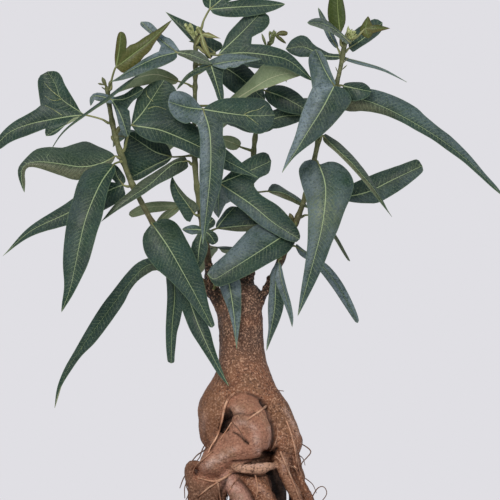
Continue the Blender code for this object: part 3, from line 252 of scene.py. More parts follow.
# %% Short names for nodes
class Nodes:
    """A node tree under construction and the place that its patterns read."""

    def __init__(self, tree, place):
        self.tree = tree
        self.place = place

    def math(self, operation, a, b=0.0):
        return node(self.tree, "ShaderNodeMath", {0: a, 1: b}, operation=operation).outputs["Value"]

    def times(self, a, b):
        return self.math("MULTIPLY", a, b)

    def ramp(self, value, low, high, start=0.0, end=1.0):
        """A value led softly from one range to another."""
        return node(self.tree, "ShaderNodeMapRange", {
            "Value": value, "From Min": low, "From Max": high, "To Min": start, "To Max": end,
        }, interpolation_type="SMOOTHSTEP").outputs["Result"]

    def axes(self, vector):
        """The X, Y and Z of a vector."""
        return node(self.tree, "ShaderNodeSeparateXYZ", {"Vector": vector}).outputs

    def cloud(self, scale, detail, roughness=0.5):
        """Noise at the place: a value and a colour."""
        return node(self.tree, "ShaderNodeTexNoise", {
            "Vector": self.place, "Scale": scale, "Detail": detail, "Roughness": roughness}).outputs

    def shaken(self, scale, reach):
        """The place pushed about by noise, which makes a pattern of cells uneven."""
        push = node(self.tree, "ShaderNodeVectorMath", {
            0: self.cloud(scale, 2.0)["Color"], 1: (reach, reach, reach)}, operation="MULTIPLY")
        return node(self.tree, "ShaderNodeVectorMath", {
            0: self.place, 1: push.outputs["Vector"]}, operation="ADD").outputs["Vector"]


print("short names:", ", ".join(name for name in vars(Nodes) if name[0] != "_"))

# %% Node groups for masks
def new_group(name, inputs, outputs):
    """An empty node group. An input's default is a number, or None for a vector."""
    group = bpy.data.node_groups.new(name, "ShaderNodeTree")
    for label, value in inputs.items():
        kind = "NodeSocketVector" if value is None else "NodeSocketFloat"
        socket = group.interface.new_socket(label, in_out="INPUT", socket_type=kind)
        if value is not None:
            socket.default_value = value
    for label in outputs:
        group.interface.new_socket(label, in_out="OUTPUT", socket_type="NodeSocketFloat")
    given = group.nodes.new("NodeGroupInput").outputs
    return Nodes(group, given["Vector"]), given, group.nodes.new("NodeGroupOutput").inputs


def patches_group():
    """A soft mask of patches, white over a share of the surface."""
    nodes, given, result = new_group(
        "patches", {"Vector": None, "Scale": 50.0, "Low": 0.4, "High": 0.6}, ["Mask"])
    cloud = nodes.cloud(given["Scale"], 5.0, 0.62)["Fac"]
    nodes.tree.links.new(nodes.ramp(cloud, given["Low"], given["High"]), result["Mask"])
    return nodes.tree


def specks_group():
    """A mask of small uneven specks. Size is a speck's share of its cell."""
    nodes, given, result = new_group(
        "specks", {"Vector": None, "Scale": 500.0, "Size": 0.3}, ["Mask"])
    cells = node(nodes.tree, "ShaderNodeTexVoronoi", {
        "Vector": nodes.shaken(900.0, 0.0012), "Scale": given["Scale"], "Randomness": 1.0}).outputs
    chance = node(nodes.tree, "ShaderNodeSeparateColor", {"Color": cells["Color"]}).outputs["Red"]
    reach = nodes.times(chance, given["Size"])
    nodes.tree.links.new(nodes.ramp(cells["Distance"], reach, 0.0), result["Mask"])
    return nodes.tree


PATCHES = patches_group()
SPECKS = specks_group()
print("mask groups:", PATCHES.name, "and", SPECKS.name)


# %% Skins
class Skin(Nodes):
    """A material under construction: its shader and the colour that is laid so far."""

    def __init__(self, name, roughness, **constants):
        self.material = bpy.data.materials.new(name)
        self.material.use_nodes = True
        tree = self.material.node_tree
        super().__init__(tree, node(tree, "ShaderNodeTexCoord").outputs["Object"])
        self.shader = tree.nodes["Principled BSDF"]
        self.shader.inputs["Roughness"].default_value = roughness
        for label, value in constants.items():
            self.shader.inputs[label.replace("_", " ")].default_value = value

    def stretched(self, x, y, z):
        """Object coordinates squeezed along each axis, for streaks."""
        mapping = node(self.tree, "ShaderNodeMapping", {"Vector": self.place, "Scale": (x, y, z)})
        return mapping.outputs["Vector"]

    def patches(self, scale, low, high, vector=None):
        return node(self.tree, "ShaderNodeGroup", {
            "Vector": vector or self.place, "Scale": scale, "Low": low, "High": high,
        }, node_tree=PATCHES).outputs["Mask"]

    def specks(self, scale, size):
        return node(self.tree, "ShaderNodeGroup", {
            "Vector": self.place, "Scale": scale, "Size": size}, node_tree=SPECKS).outputs["Mask"]

    def mask(self, attribute):
        """A mask that is painted on the mesh."""
        return node(self.tree, "ShaderNodeAttribute", attribute_name=attribute).outputs["Fac"]

    def mix(self, mask, under, over):
        """One colour over another where the mask is white."""
        made = node(self.tree, "ShaderNodeMix", {0: mask, 6: under, 7: over}, data_type="RGBA")
        return made.outputs[2]

    def ground(self, mask, under, over):
        """The first two screen colours, mixed by a mask."""
        self.laid = self.mix(mask, rgb(*under), rgb(*over))

    def lay(self, mask, strength, colour):
        """A screen colour over what is laid so far, as strong as the mask allows."""
        mask = mask if strength == 1 else self.times(mask, strength)
        self.laid = self.mix(mask, self.laid, rgb(*colour))

    def colour(self):
        self.tree.links.new(self.laid, self.shader.inputs["Base Color"])

    def roughness(self, mask, low, high):
        self.tree.links.new(self.ramp(mask, 0.0, 1.0, low, high), self.shader.inputs["Roughness"])

    def bump(self, height, distance, strength):
        """Small relief in the shading. The distance is in millimetres."""
        made = node(self.tree, "ShaderNodeBump", {
            "Height": height, "Distance": distance * MM, "Strength": strength})
        self.tree.links.new(made.outputs["Normal"], self.shader.inputs["Normal"])


floor_skin = Skin("floor_paint", 0.8)
floor_skin.ground(floor_skin.patches(3.0, 0.3, 0.7), (222, 222, 226), (228, 227, 231))
floor_skin.colour()
floor.data.materials.append(floor_skin.material)
print("floor paint:", len(floor_skin.tree.nodes), "nodes")

# %% [markdown]
# ## The pot
#
# The picture ends above the pot, so this is a plain flowerpot of the right size. A real
# one is thrown on a wheel or pressed in a mould, and here it is raised the same way: a
# disc of clay is pulled up ring by ring, over the rim and down the inside to the floor.
# Four drain holes are cut last.

# %% Pot
POT_HEIGHT = 140.0
POT_TOP_RADIUS = 84.0
POT_BAND_HEIGHT = 28.0
POT_BAND_STEP = 5.0
POT_FOOT_RADIUS = 58.0
POT_WALL = 6.0
POT_FLOOR = 8.0
POT_EDGE = 1.5


def inner_radius(height):
    """The radius of the pot's inner wall at a height."""
    share = (height - POT_FLOOR) / (POT_HEIGHT - POT_FLOOR)
    foot = POT_FOOT_RADIUS - POT_WALL
    return foot + share * (POT_TOP_RADIUS - POT_WALL - foot)


POT_BAND = POT_HEIGHT - POT_BAND_HEIGHT
POT_RINGS = [
    (POT_FOOT_RADIUS - 2 * POT_EDGE, 0.0),
    (POT_FOOT_RADIUS - 0.6, 0.7 * POT_EDGE),
    (POT_FOOT_RADIUS, 2 * POT_EDGE),
    (POT_TOP_RADIUS - POT_BAND_STEP - 10.5, 0.6 * POT_BAND),
    (POT_TOP_RADIUS - POT_BAND_STEP, POT_BAND - 1.0),
    (POT_TOP_RADIUS - 1.0 - POT_EDGE, POT_BAND),
    (POT_TOP_RADIUS - 1.3, POT_BAND + 0.4 * POT_EDGE),
    (POT_TOP_RADIUS - 1.0, POT_BAND + POT_EDGE),
    (POT_TOP_RADIUS, POT_HEIGHT - POT_EDGE),
    (POT_TOP_RADIUS - 0.4, POT_HEIGHT - 0.4),
    (POT_TOP_RADIUS - POT_EDGE, POT_HEIGHT),
    (inner_radius(POT_HEIGHT) + POT_EDGE, POT_HEIGHT),
    (inner_radius(POT_HEIGHT) + 0.4, POT_HEIGHT - 0.4),
    (inner_radius(POT_HEIGHT), POT_HEIGHT - POT_EDGE),
    (inner_radius(POT_FLOOR), POT_FLOOR),
]


def raised_disc(rings, sides):
    """A disc at the first ring, extruded and scaled through the others."""
    radius, height = rings[0]
    bpy.ops.mesh.primitive_circle_add(
        vertices=sides, radius=radius * MM, fill_type="NGON", location=(0, 0, height * MM))
    piece = bpy.context.object
    bpy.ops.object.transform_apply(location=True)
    bpy.ops.object.mode_set(mode="EDIT")
    bpy.ops.mesh.select_all(action="SELECT")
    for (old, low), (new, high) in zip(rings, rings[1:]):
        bpy.ops.mesh.extrude_region_move(TRANSFORM_OT_translate={"value": (0, 0, (high - low) * MM)})
        bpy.ops.transform.resize(value=(new / old, new / old, 1.0), center_override=(0, 0, high * MM))
    bpy.ops.mesh.select_all(action="SELECT")
    bpy.ops.mesh.normals_make_consistent(inside=False)
    bpy.ops.object.mode_set(mode="OBJECT")
    return piece


pot = raised_disc(POT_RINGS, 96)
print("pot wall:", POT_WALL, "mm at the rim,", len(POT_RINGS), "rings")

# %% Drain holes
DRAINS = 4
DRAIN_RADIUS = 5.0
DRAIN_CIRCLE = 26.0

for k in range(DRAINS):
    turn = math.tau * (k + 0.5) / DRAINS
    bpy.ops.mesh.primitive_cylinder_add(
        vertices=32, radius=DRAIN_RADIUS * MM, depth=0.03,
        location=(DRAIN_CIRCLE * MM * math.cos(turn), DRAIN_CIRCLE * MM * math.sin(turn), 0.004))
    drill = bpy.context.object
    apply_modifier(pot, "BOOLEAN", operation="DIFFERENCE", object=drill)
    bpy.data.objects.remove(drill)
only(pot)
bpy.ops.object.shade_smooth_by_angle(angle=math.radians(30))
print("drain holes:", DRAINS)

# %% Clay
# Unglazed clay is warm, a little streaked where water has dried, and has a fine grain
clay = Skin("clay_skin", 0.82)
clay.ground(clay.patches(22.0, 0.35, 0.68), (176, 100, 68), (196, 124, 88))
dried = clay.patches(9.0, 0.52, 0.72, clay.stretched(1.0, 1.0, 0.45))
clay.lay(dried, 0.55, (214, 178, 152))
clay.lay(clay.specks(420.0, 0.55), 0.5, (120, 66, 46))
clay.colour()
clay.roughness(dried, 0.74, 0.9)
clay.bump(clay.patches(420.0, 0.2, 0.8), 0.25, 0.5)
pot.name = "pot_clay"
settle(pot, "pot", "clay", clay.material)
print("pot:", count(pot), "triangles")

# %% [markdown]
# ## The soil
#
# Potting soil settles into low humps, and loose crumbs and bark chips lie on top. The
# surface is a disc that is inset into rings and lifted by noise, and its edge is pulled
# down the inside of the pot. The crumbs are small squashed spheres scattered by a seeded
# draw, each with its own mesh, and joined to the surface.

# %% Soil surface
SOIL_TOP = 126.0
SOIL_SINK = 1.6
SOIL_RADIUS = inner_radius(SOIL_TOP) - 0.5
SOIL_RINGS = 34
# Length, seed and height of the humps
SOIL_WAVES = [(26, 3.1, 1.3), (6, 7.7, 0.8), (2.2, 1.3, 0.4)]


def soil_height(x, y):
    """The height of the soil in millimetres at a place in millimetres."""
    height = SOIL_TOP - SOIL_SINK
    for length, seed, rise in SOIL_WAVES:
        height += rise * noise.noise(Vector((x / length, y / length, seed)))
    return height


bpy.ops.mesh.primitive_circle_add(
    vertices=120, radius=SOIL_RADIUS * MM, fill_type="NGON", location=(0, 0, SOIL_TOP * MM))
soil = bpy.context.object
bpy.ops.object.transform_apply(location=True)
bpy.ops.object.mode_set(mode="EDIT")
bpy.ops.mesh.select_all(action="SELECT")
for _ in range(SOIL_RINGS):
    bpy.ops.mesh.inset(thickness=0.97 * SOIL_RADIUS * MM / SOIL_RINGS, depth=0.0)
bpy.ops.mesh.poke()
bpy.ops.mesh.select_all(action="DESELECT")
bpy.ops.mesh.select_mode(type="EDGE")
bpy.ops.mesh.select_non_manifold()
bpy.ops.mesh.extrude_region_move(TRANSFORM_OT_translate={"value": (0, 0, -0.03)})
bpy.ops.mesh.edge_face_add()
bpy.ops.mesh.select_all(action="SELECT")
bpy.ops.mesh.normals_make_consistent(inside=False)
bpy.ops.object.mode_set(mode="OBJECT")
for vertex in soil.data.vertices:
    if vertex.co.z > (SOIL_TOP - 5) * MM:
        vertex.co.z = soil_height(vertex.co.x / MM, vertex.co.y / MM) * MM
print("soil surface:", count(soil), "triangles")

# %% Crumbs
CRUMBS = 420
CHIP_EVERY = 9

draw = np.random.default_rng(11)
crumbs = []
for k in range(CRUMBS):
    turn, out = draw.uniform(0, math.tau), (SOIL_RADIUS - 4) * math.sqrt(draw.uniform())
    x, y = out * math.cos(turn), out * math.sin(turn)
    size = draw.uniform(0.7, 1.5) if k % CHIP_EVERY else draw.uniform(1.8, 3.2)
    bpy.ops.mesh.primitive_ico_sphere_add(
        subdivisions=1, radius=size * MM,
        location=(x * MM, y * MM, (soil_height(x, y) + 0.2 * size) * MM),
        rotation=tuple(draw.uniform(0, 3, 3)),
        scale=(1.0, draw.uniform(0.5, 0.9), draw.uniform(0.35, 0.7)))
    crumb = bpy.context.object
    for vertex in crumb.data.vertices:
        vertex.co *= draw.uniform(0.75, 1.1)
    crumbs.append(crumb)
bpy.ops.object.select_all(action="DESELECT")
for crumb in crumbs:
    crumb.select_set(True)
bpy.context.view_layer.objects.active = crumbs[0]
bpy.ops.object.transform_apply(location=True, rotation=True, scale=True)
only(soil)
bpy.ops.object.shade_smooth()
soil = join([soil, *crumbs], "soil_surface")
print("crumbs:", len(crumbs))

# %% Potting soil
earth = Skin("soil_skin", 0.95)
earth.ground(earth.patches(160.0, 0.35, 0.65), (44, 31, 24), (82, 62, 46))
earth.lay(earth.specks(700.0, 0.5), 1, (134, 108, 80))
earth.lay(earth.patches(60.0, 0.55, 0.75), 1, (36, 26, 21))
earth.colour()
earth.roughness(earth.patches(200.0, 0.3, 0.7), 0.85, 1.0)
earth.bump(earth.patches(900.0, 0.2, 0.8), 0.5, 0.8)
settle(soil, "soil", "potting_soil", earth.material)
print("soil:", count(soil), "triangles")

# %% [markdown]
# ## Curves through hand-set points
#
# Roots, stems and leaf ribs all bend softly. Each is set by a few points, and a smooth
# curve is led through them. A tube is such a curve with a radius at each point: Blender's
# curve object gives it its thickness, and it is then turned into a mesh.

# %% Curves
CURVE_STEPS = 12


def smooth_curve(points):
    """A dense curve through the points, with its running length."""
    pts = np.array(points, float)
    ends = np.vstack([2 * pts[0] - pts[1], pts, 2 * pts[-1] - pts[-2]])
    steps = np.linspace(0.0, 1.0, CURVE_STEPS + 1)[1:, None]
    dense = [pts[:1]]
    for a, b, c, d in zip(ends, ends[1:], ends[2:], ends[3:]):
        curve = 2 * b + (c - a) * steps + (2 * a - 5 * b + 4 * c - d) * steps**2
        curve += (3 * b - 3 * c + d - a) * steps**3
        dense.append(curve / 2)
    dense = np.vstack(dense)
    lengths = np.linalg.norm(np.diff(dense[:, :3], axis=0), axis=1)
    return dense, np.concatenate([[0.0], np.cumsum(lengths)])


def flat_curve(line):
    """A curve through x and z points, in the plane that faces the camera."""
    return smooth_curve([(x, 0.0, z) for x, z in line])


def points_along(curve, distances):
    dense, lengths = curve
    return np.stack([np.interp(distances, lengths, dense[:, k]) for k in range(dense.shape[1])], axis=1)


def evenly(curve, step, least=4):
    """Points about a step apart, from one end of a curve to the other."""
    length = curve[1][-1]
    return points_along(curve, np.linspace(0.0, length, max(least, int(length / step))))


def unit(vector):
    vector = np.asarray(vector, float)
    return vector / np.linalg.norm(vector)


arc = smooth_curve([(math.cos(turn), math.sin(turn), 0.0) for turn in np.linspace(0.0, math.pi, 5)])
print("half a circle through 5 points measures", round(float(arc[1][-1]), 3), "of its radius")


# %% Tubes
def tube(points, resolution=2):
    """A closed tapered tube. Each point is x, y, z and radius."""
    path = bpy.data.curves.new("tube", "CURVE")
    path.dimensions = "3D"
    path.bevel_depth = MM
    path.bevel_resolution = resolution
    path.use_fill_caps = True
    spline = path.splines.new("POLY")
    spline.points.add(len(points) - 1)
    for target, (x, y, z, radius) in zip(spline.points, points):
        target.co = (x * MM, y * MM, z * MM, 1.0)
        target.radius = radius
    piece = new_piece("tube", path)
    bpy.ops.object.convert(target="MESH")
    weld(piece, 0.002)
    bpy.ops.object.shade_smooth()
    return piece


def grown_tube(points, step, seed, wobble, resolution):
    """A tube through given points that swells and thins a little, as a root does."""
    rings = evenly(smooth_curve(points), step)
    for k, ring in enumerate(rings):
        ring[3] *= 1 + 2 * wobble * noise.noise(Vector((k * step / 9, seed, 0.5)))
    return tube(rings, resolution)


short_tube = tube([(0, 0, 0, 1), (0, 0, 5, 1)])
print("a tube between two rings:", count(short_tube), "triangles")
bpy.data.objects.remove(short_tube)

# %% [markdown]
# ## The trunk and the thick roots
#
# The trunk of a bottle tree stores water, so it swells above the roots and narrows to a
# neck. Its roots grew underground and were lifted out, which is why they are as thick and
# twisted as they are. The trunk is built as the plant grows: an oval body, thick roots
# laid over and round it, and the short branch ends at the top. A voxel remesh fuses them
# to one skin and smoothing rounds the joins. Then folds are pressed in and swellings are
# raised along lines on the skin, and noise adds the fine roughness of bark.

# %% The body's rings
# Rings of the body: centre x, centre y, height, half width, half depth
TRUNK_RINGS = [
    (-4, 6, 160, 12, 13), (0, 6, 172, 20, 19), (5, 6, 184, 27, 21), (3, 7, 196, 34, 24),
    (1, 7, 206, 38, 25), (-3, 5, 216, 38.5, 26), (-5.5, 2, 228, 35.5, 27), (-6.5, 0, 240, 28, 26),
    (-5.5, 0, 254, 21.2, 21.5), (-6.6, 0, 270, 18.2, 18.6), (-7.6, 0, 300, 17.4, 17.2),
    (-8.2, 0, 316, 16.2, 16.0), (-8.2, 0, 322, 13.6, 13.0),
]
print("rings:", len(TRUNK_RINGS))

# %% Thick roots
# Thick roots: a tone, and points of x, y, z and radius
ROOTS = {
    "flank_left": ("orange", [
        (-14, -2, 246, 9), (-25, -6, 230, 12.5), (-29, -8, 215, 13), (-28.5, -9, 202, 11.5),
        (-27, -6, 188, 7)]),
    "flank_right": ("brown", [
        (4, -2, 252, 8), (13, -8, 233, 11), (23, -13, 214, 12), (29, -14, 198, 12), (30.5, -12, 184, 9),
        (35, -9, 171, 6), (42, -10, 159, 5.6), (47, -11, 147, 5.4), (50, -12, 134, 5.4),
        (50, -12, 120, 5.4)]),
    "knot": ("pink", [
        (-12, -12, 214, 8), (-6, -21, 221.5, 13.2), (1, -26, 218.5, 13.0), (5.8, -29, 207, 13.0),
        (3.5, -29, 198, 12.4), (-5, -28, 192, 11.6), (-17, -24, 188, 11.6), (-28, -19, 180.5, 11.8),
        (-34, -13, 173, 9.0)]),
    "knot_core": ("pink", [
        (-3, -14, 214, 10), (-6, -22, 210, 9.5), (-8, -26, 204, 10), (-14, -23, 197, 9.5)]),
    "knot_shoulder": ("pink", [(-9, -19, 207, 7), (-17, -20, 200, 8.6), (-25, -17, 192, 9)]),
    "band": ("beige", [
        (-13.5, -27, 178, 2.4), (-9, -33, 176.6, 3.7), (-2, -36, 176.2, 4.3), (6, -36, 176.6, 4.5),
        (13, -34, 177.6, 4.3), (17, -29, 178.2, 3.3), (19, -21, 179, 2.4)]),
    "flank_fill": ("brown", [
        (15, -12, 222, 8), (20, -17, 208, 9), (22.5, -19, 197, 9), (23.5, -18, 188, 7.4),
        (25, -13, 178, 6)]),
    # The left roots take a darker brown tone that is painted shade
    "left_end": ("shaded_brown", [
        (-27, -8, 180, 9), (-33, -12, 168, 8.5), (-35, -15, 155, 9), (-35, -16, 144, 9),
        (-35, -16, 120, 9)]),
    "hook": ("shaded_brown", [
        (-36, -9, 174, 3.4), (-42.5, -12, 179, 3.6), (-47.5, -13, 178, 4.0), (-48, -14, 170, 4.6),
        (-45, -15, 162, 5.2), (-44, -15, 150, 5.4), (-46, -14, 120, 4.6)]),
    "hook_back": ("shaded_brown", [
        (-33, -2, 178, 6), (-40, -4, 172, 5.6), (-42, -6, 162, 5.5), (-41, -8, 150, 5)]),
    "pink": ("rose", [
        (-15, -16, 177, 6), (-16, -23, 167, 7.5), (-9, -28, 156, 8), (-4, -31, 146, 8),
        (-2, -32, 120, 8)]),
    "middle": ("brown", [
        (-6, -20, 178, 7), (0, -25, 167, 8.4), (7, -28, 158, 8.8), (15, -30, 147, 8.4),
        (18, -31, 120, 7.8)]),
    "left_inner": ("shaded_brown", [
        (-24, -12, 178, 7), (-25, -17, 164, 8), (-26, -18, 150, 8), (-25, -18, 120, 8)]),
    "under_band": ("brown", [
        (-10, -18, 176, 7), (0, -24, 171, 7.5), (10, -22, 167, 6), (14, -16, 158, 5)]),
    "pale": ("pale", [
        (25, -17, 190, 4.0), (26.3, -23, 183, 4.6), (27, -25, 174, 4.9), (31, -26, 165, 4.7),
        (35.5, -26, 157, 4.5), (38.5, -26, 147, 4.4), (40, -25, 120, 4.2)]),
    "back_left": ("brown", [
        (-18, 12, 206, 11), (-27, 24, 184, 11), (-34, 32, 162, 9), (-38, 36, 146, 8),
        (-39, 37, 120, 8)]),
    "back": ("brown", [
        (2, 16, 206, 13), (2, 30, 186, 12), (-2, 40, 164, 10), (-4, 44, 148, 9), (-4, 45, 120, 9)]),
    "back_right": ("brown", [
        (20, 10, 206, 11), (30, 20, 184, 10.5), (36, 28, 164, 8.5), (40, 33, 148, 8),
        (41, 34, 120, 8)]),
    # The tap roots are seen only through gaps between the front roots, and their near black tone is
    # painted shade
    "tap": ("dark", [(-3, 6, 176, 15), (-5, 7, 160, 12), (-7, 7, 146, 10), (-7, 7, 120, 10)]),
    "tap_right": ("dark", [(10, 4, 180, 14), (17, 3, 162, 11), (20, 3, 147, 9.5), (20, 3, 120, 9.5)]),
    "cross_back": ("brown", [
        (-30, 14, 196, 7), (-16, 33, 200, 8), (4, 38, 196, 8), (22, 30, 188, 8), (34, 15, 184, 7)]),
}
print("thick roots:", len(ROOTS))

# %% Branch ends
# Cut ends at the neck that the stems grow from
BRANCHES = {
    "branch_left": ("stub", [
        (-17, 0, 288, 8), (-22, -1, 303, 6.2), (-28, -2, 313, 5.2), (-36, -4, 322, 4.4)]),
    "branch_centre": ("stub", [
        (-22, 1, 306, 6), (-29, 2, 318, 5), (-32, 2, 330, 4.2), (-33.5, 2, 340, 3.6)]),
    "branch_back": ("stub", [
        (-4, 2, 300, 8), (-3, 5, 320, 7), (-2, 8, 332, 5.4), (-1.5, 10, 340, 4.6)]),
    "branch_right": ("stub", [
        (2, -1, 298, 6), (8.5, -2, 310, 4.0), (13.5, -3, 319, 3.6), (18, -4, 328, 3.7)]),
}
print("branch ends:", len(BRANCHES))


# %% Body and roots as one skin
BODY_SIDES = 48
BODY_STEP = 3.0
ROOT_STEP = 2.5
BRANCH_STEP = 2.0
SWELLING = 0.08
SKIN_CELL = 1.0


def ring_body(rings, sides, step):
    """A closed body of oval rings, bridged from the lowest to the highest."""
    shape = bmesh.new()
    loops = []
    for x, y, z, wide, deep in evenly(smooth_curve(rings), step):
        turns = [math.tau * k / sides for k in range(sides)]
        places = [(x + wide * math.cos(turn), y + deep * math.sin(turn), z) for turn in turns]
        loops.append([shape.verts.new(Vector(place) * MM) for place in places])
    for low, high in zip(loops, loops[1:]):
        for k in range(sides):
            n = (k + 1) % sides
            shape.faces.new((low[k], low[n], high[n], high[k]))
    shape.faces.new(list(reversed(loops[0])))
    shape.faces.new(loops[-1])
    mesh = bpy.data.meshes.new("body")
    shape.to_mesh(mesh)
    shape.free()
    return new_piece("body", mesh)


grown = [ring_body(TRUNK_RINGS, BODY_SIDES, BODY_STEP)]
for k, (tone, points) in enumerate(ROOTS.values()):
    grown.append(grown_tube(points, ROOT_STEP, 3.7 * k, SWELLING, 4))
for k, (tone, points) in enumerate(BRANCHES.values()):
    grown.append(grown_tube(points, BRANCH_STEP, 50 + k, SWELLING, 3))
trunk = join(grown, "trunk_skin")
apply_modifier(trunk, "REMESH", mode="VOXEL", voxel_size=SKIN_CELL * MM, use_smooth_shade=True)
apply_modifier(trunk, "SMOOTH", factor=0.6, iterations=9)
print("trunk skin:", count(trunk), "triangles")

# %% [markdown]
# ## Folds, swellings and bark relief
#
# Where roots press on one another, the skin has creases, pits and bulges. A sculptor's
# brush would make them by hand. Here each one is a line on the front of the trunk with a
# width and a depth, so that it can be set to a place and changed later. A second pass of
# noise gives the whole skin its lumps, wrinkles and grain.

# %% Reading and painting a mesh
def vertex_array(piece, field="co"):
    """The piece's vertex positions in millimetres, or its vertex normals."""
    values = np.empty(3 * len(piece.data.vertices))
    piece.data.vertices.foreach_get(field, values)
    return values.reshape(-1, 3) / (MM if field == "co" else 1.0)


def move_vertices(piece, places):
    piece.data.vertices.foreach_set("co", (places * MM).ravel())
    piece.data.update()


def paint(piece, name, values):
    """A mask with one value a vertex, for the material to read."""
    layer = piece.data.attributes.new(name, "FLOAT", "POINT")
    layer.data.foreach_set("value", np.clip(values, 0.0, 1.0).astype(np.float32))


def distance_to_line(places, line):
    """The distance of each place to a polyline, in as many dimensions as both have."""
    nearest = np.full(len(places), 1e9)
    for a, b in zip(line, line[1:]):
        along = b - a
        share = np.clip(((places - a) @ along) / max(along @ along, 1e-9), 0.0, 1.0)
        gap = np.linalg.norm(places - a - share[:, None] * along, axis=1)
        nearest = np.minimum(nearest, gap)
    return nearest


places, normals = vertex_array(trunk), vertex_array(trunk, "normal")
front = np.clip((2.0 - places[:, 1]) / 8.0, 0.0, 1.0) * (normals[:, 1] < 0.35)
print("vertices on the front:", int((front > 0).sum()))


def near(line, width):
    """How near each place on the trunk's front is to a line of x and z points, 0 to 1."""
    dense = flat_curve(line)[0][:, [0, 2]]
    return np.exp(-(distance_to_line(places[:, [0, 2]], dense) / width) ** 2) * front


# %% Folds and swellings
# Lines on the front of the skin: x and z points, width, depth (raised if negative) and how much painted
# shade darkens the crease
FOLDS = [
    ([(-2, 236), (5, 233.5), (10, 229), (13.5, 222), (17, 213)], 0.9, 1.0, 0.8),
    ([(-19, 229), (-16, 234), (-9, 237), (-2, 236)], 0.9, 0.6, 0.4),
    ([(9, 230), (12, 225.5)], 1.4, 2.0, 1.0), ([(-17.5, 223), (-20, 216), (-18.5, 208)], 1.7, 1.4, 0.95),
    ([(15, 218), (17.8, 211), (18.8, 204), (17.6, 196.5), (15.5, 190)], 1.1, 1.5, 0.85),
    ([(-13.5, 205.5), (-9, 203.3), (-5, 199.8), (-1.7, 196.7)], 0.7, 2.0, 1.0),
    ([(-5, 200), (-2, 197)], 1.2, 1.4, 0.9),
    ([(-16, 217), (-12, 219.3), (-7, 220.3), (-1, 219.3), (4, 221)], 0.7, 0.8, 0.6),
    ([(-17.3, 219.5), (-18.5, 214), (-21.8, 208)], 2.4, 4.6, 1.0),
    ([(-22.3, 207.5), (-27, 199), (-31.5, 191.5)], 1.2, 1.3, 0.55),
    ([(12, 188.5), (16.5, 187.5), (20, 191)], 2.3, 3.0, 1.0),
    ([(-14, 182.2), (-2, 183), (8, 184), (15, 187)], 0.8, 1.3, 0.8),
    ([(-15, 172.8), (-3, 171.8), (9, 170.8), (18, 172.5)], 0.8, 1.3, 0.85),
    ([(20, 200), (21.5, 195), (22, 190)], 1.2, 0.9, 0.5),
    ([(26, 218), (30, 206), (33, 196), (34, 186)], 0.8, 0.35, 0.15),
    ([(33, 184), (35, 176), (39, 165), (45, 154)], 0.9, 0.9, 0.6),
    ([(38, 186), (39.5, 178), (44, 167), (50, 155)], 0.7, 0.3, 0.2),
    ([(17, 172), (19, 164), (22, 155)], 2.4, 2.6, 1.0),
    ([(-19, 170), (-22, 160), (-24, 150)], 1.6, 1.6, 0.8),
    ([(-9, 168), (-2, 160), (4, 150)], 1.2, 1.4, 0.75),
    ([(-37, 212), (-36, 203), (-33, 195)], 1.3, 0.7, 0.3),
    ([(-16, 238), (-22, 228), (-25, 216)], 3.5, -0.8, 0.0),
    ([(-3, 228), (3, 224), (6, 220)], 4.0, -0.7, 0.0),
    ([(-30, 183), (-22, 187), (-12, 190)], 5.0, -0.9, 0.0),
]
# dark gathers the painted shade of each crease, which the bark paints near black
depth, dark = np.zeros(len(places)), np.zeros(len(places))
for line, width, deep, painted_shade in FOLDS:
    press = near(line, width)
    depth += deep * press
    dark = np.maximum(dark, painted_shade * press)
places -= normals * depth[:, None]
print("folds:", len(FOLDS), "deepest, mm:", round(float(depth.max()), 2))


# %% Bark relief
KNOB_START = 303
KNOB_FADE = 9


def bark_relief(place):
    """Fine lumps and wrinkles of the bark in millimetres."""
    x, y, z = place
    lumps = noise.fractal(Vector((x / 6, y / 6, z / 7.5)), 0.8, 2.0, 4)
    wrinkles = noise.noise(Vector((x / 5, y / 5, z / 1.6)))
    grains = noise.noise(Vector((x / 1.5, y / 1.5, z / 1.5)))
    knobs = max(0.0, noise.noise(Vector((x / 4, y / 4, z / 3.2))))
    knobs *= min(1.0, max(0.0, (z - KNOB_START) / KNOB_FADE))
    return 0.3 * lumps + 0.12 * wrinkles + 0.14 * grains + 1.5 * knobs


relief = np.array([bark_relief(place) for place in places])
places += normals * relief[:, None]
move_vertices(trunk, places)
print("relief, mm:", round(float(relief.min()), 2), "to", round(float(relief.max()), 2))

# %% [markdown]
# ## Bark
#
# Young bottle tree bark is thin and orange brown, freckled with dark pores and with pale,
# pinkish flakes. The lifted roots are smoother and greyer, one is almost rose, and a band
# of corky tissue below the knot is straw coloured. The tones are masks with one value a
# vertex, which fade out with the distance from each root's middle line. Crests get a
# painted highlight, and the creases, the left roots and the tap roots seen between the
# front roots get painted shade. The freckles come from noise of two sizes. Painting it all
# by hand on a flat map would need the tangle of roots to be unwrapped first.

# %% Tones
TONE_BLEND = 1.2
TONE_FADE = 5.0

gaps, tones = [], []
for tone, points in [*ROOTS.values(), *BRANCHES.values()]:
    dense = smooth_curve(points)[0][::4]
    gaps.append(distance_to_line(places, dense[:, :3]) - dense[:, 3].mean())
    tones.append(tone)
gaps = np.array(gaps)
weights = np.exp(-np.clip(gaps, -3.0, None) / TONE_BLEND)
weights /= weights.sum(axis=0) + np.exp(-4.0 / TONE_BLEND)
for tone in ["rose", "pale", "beige", "pink", "orange", "shaded_brown", "dark", "stub"]:
    rows = [k for k, found in enumerate(tones) if found == tone]
    nearby = np.clip(1.2 - gaps[rows].min(axis=0) / TONE_FADE, 0.0, 1.0)
    paint(trunk, tone, weights[rows].sum(axis=0) * nearby)
paint(trunk, "painted_crease_shade", dark)
print("tones:", sorted(set(tones)))
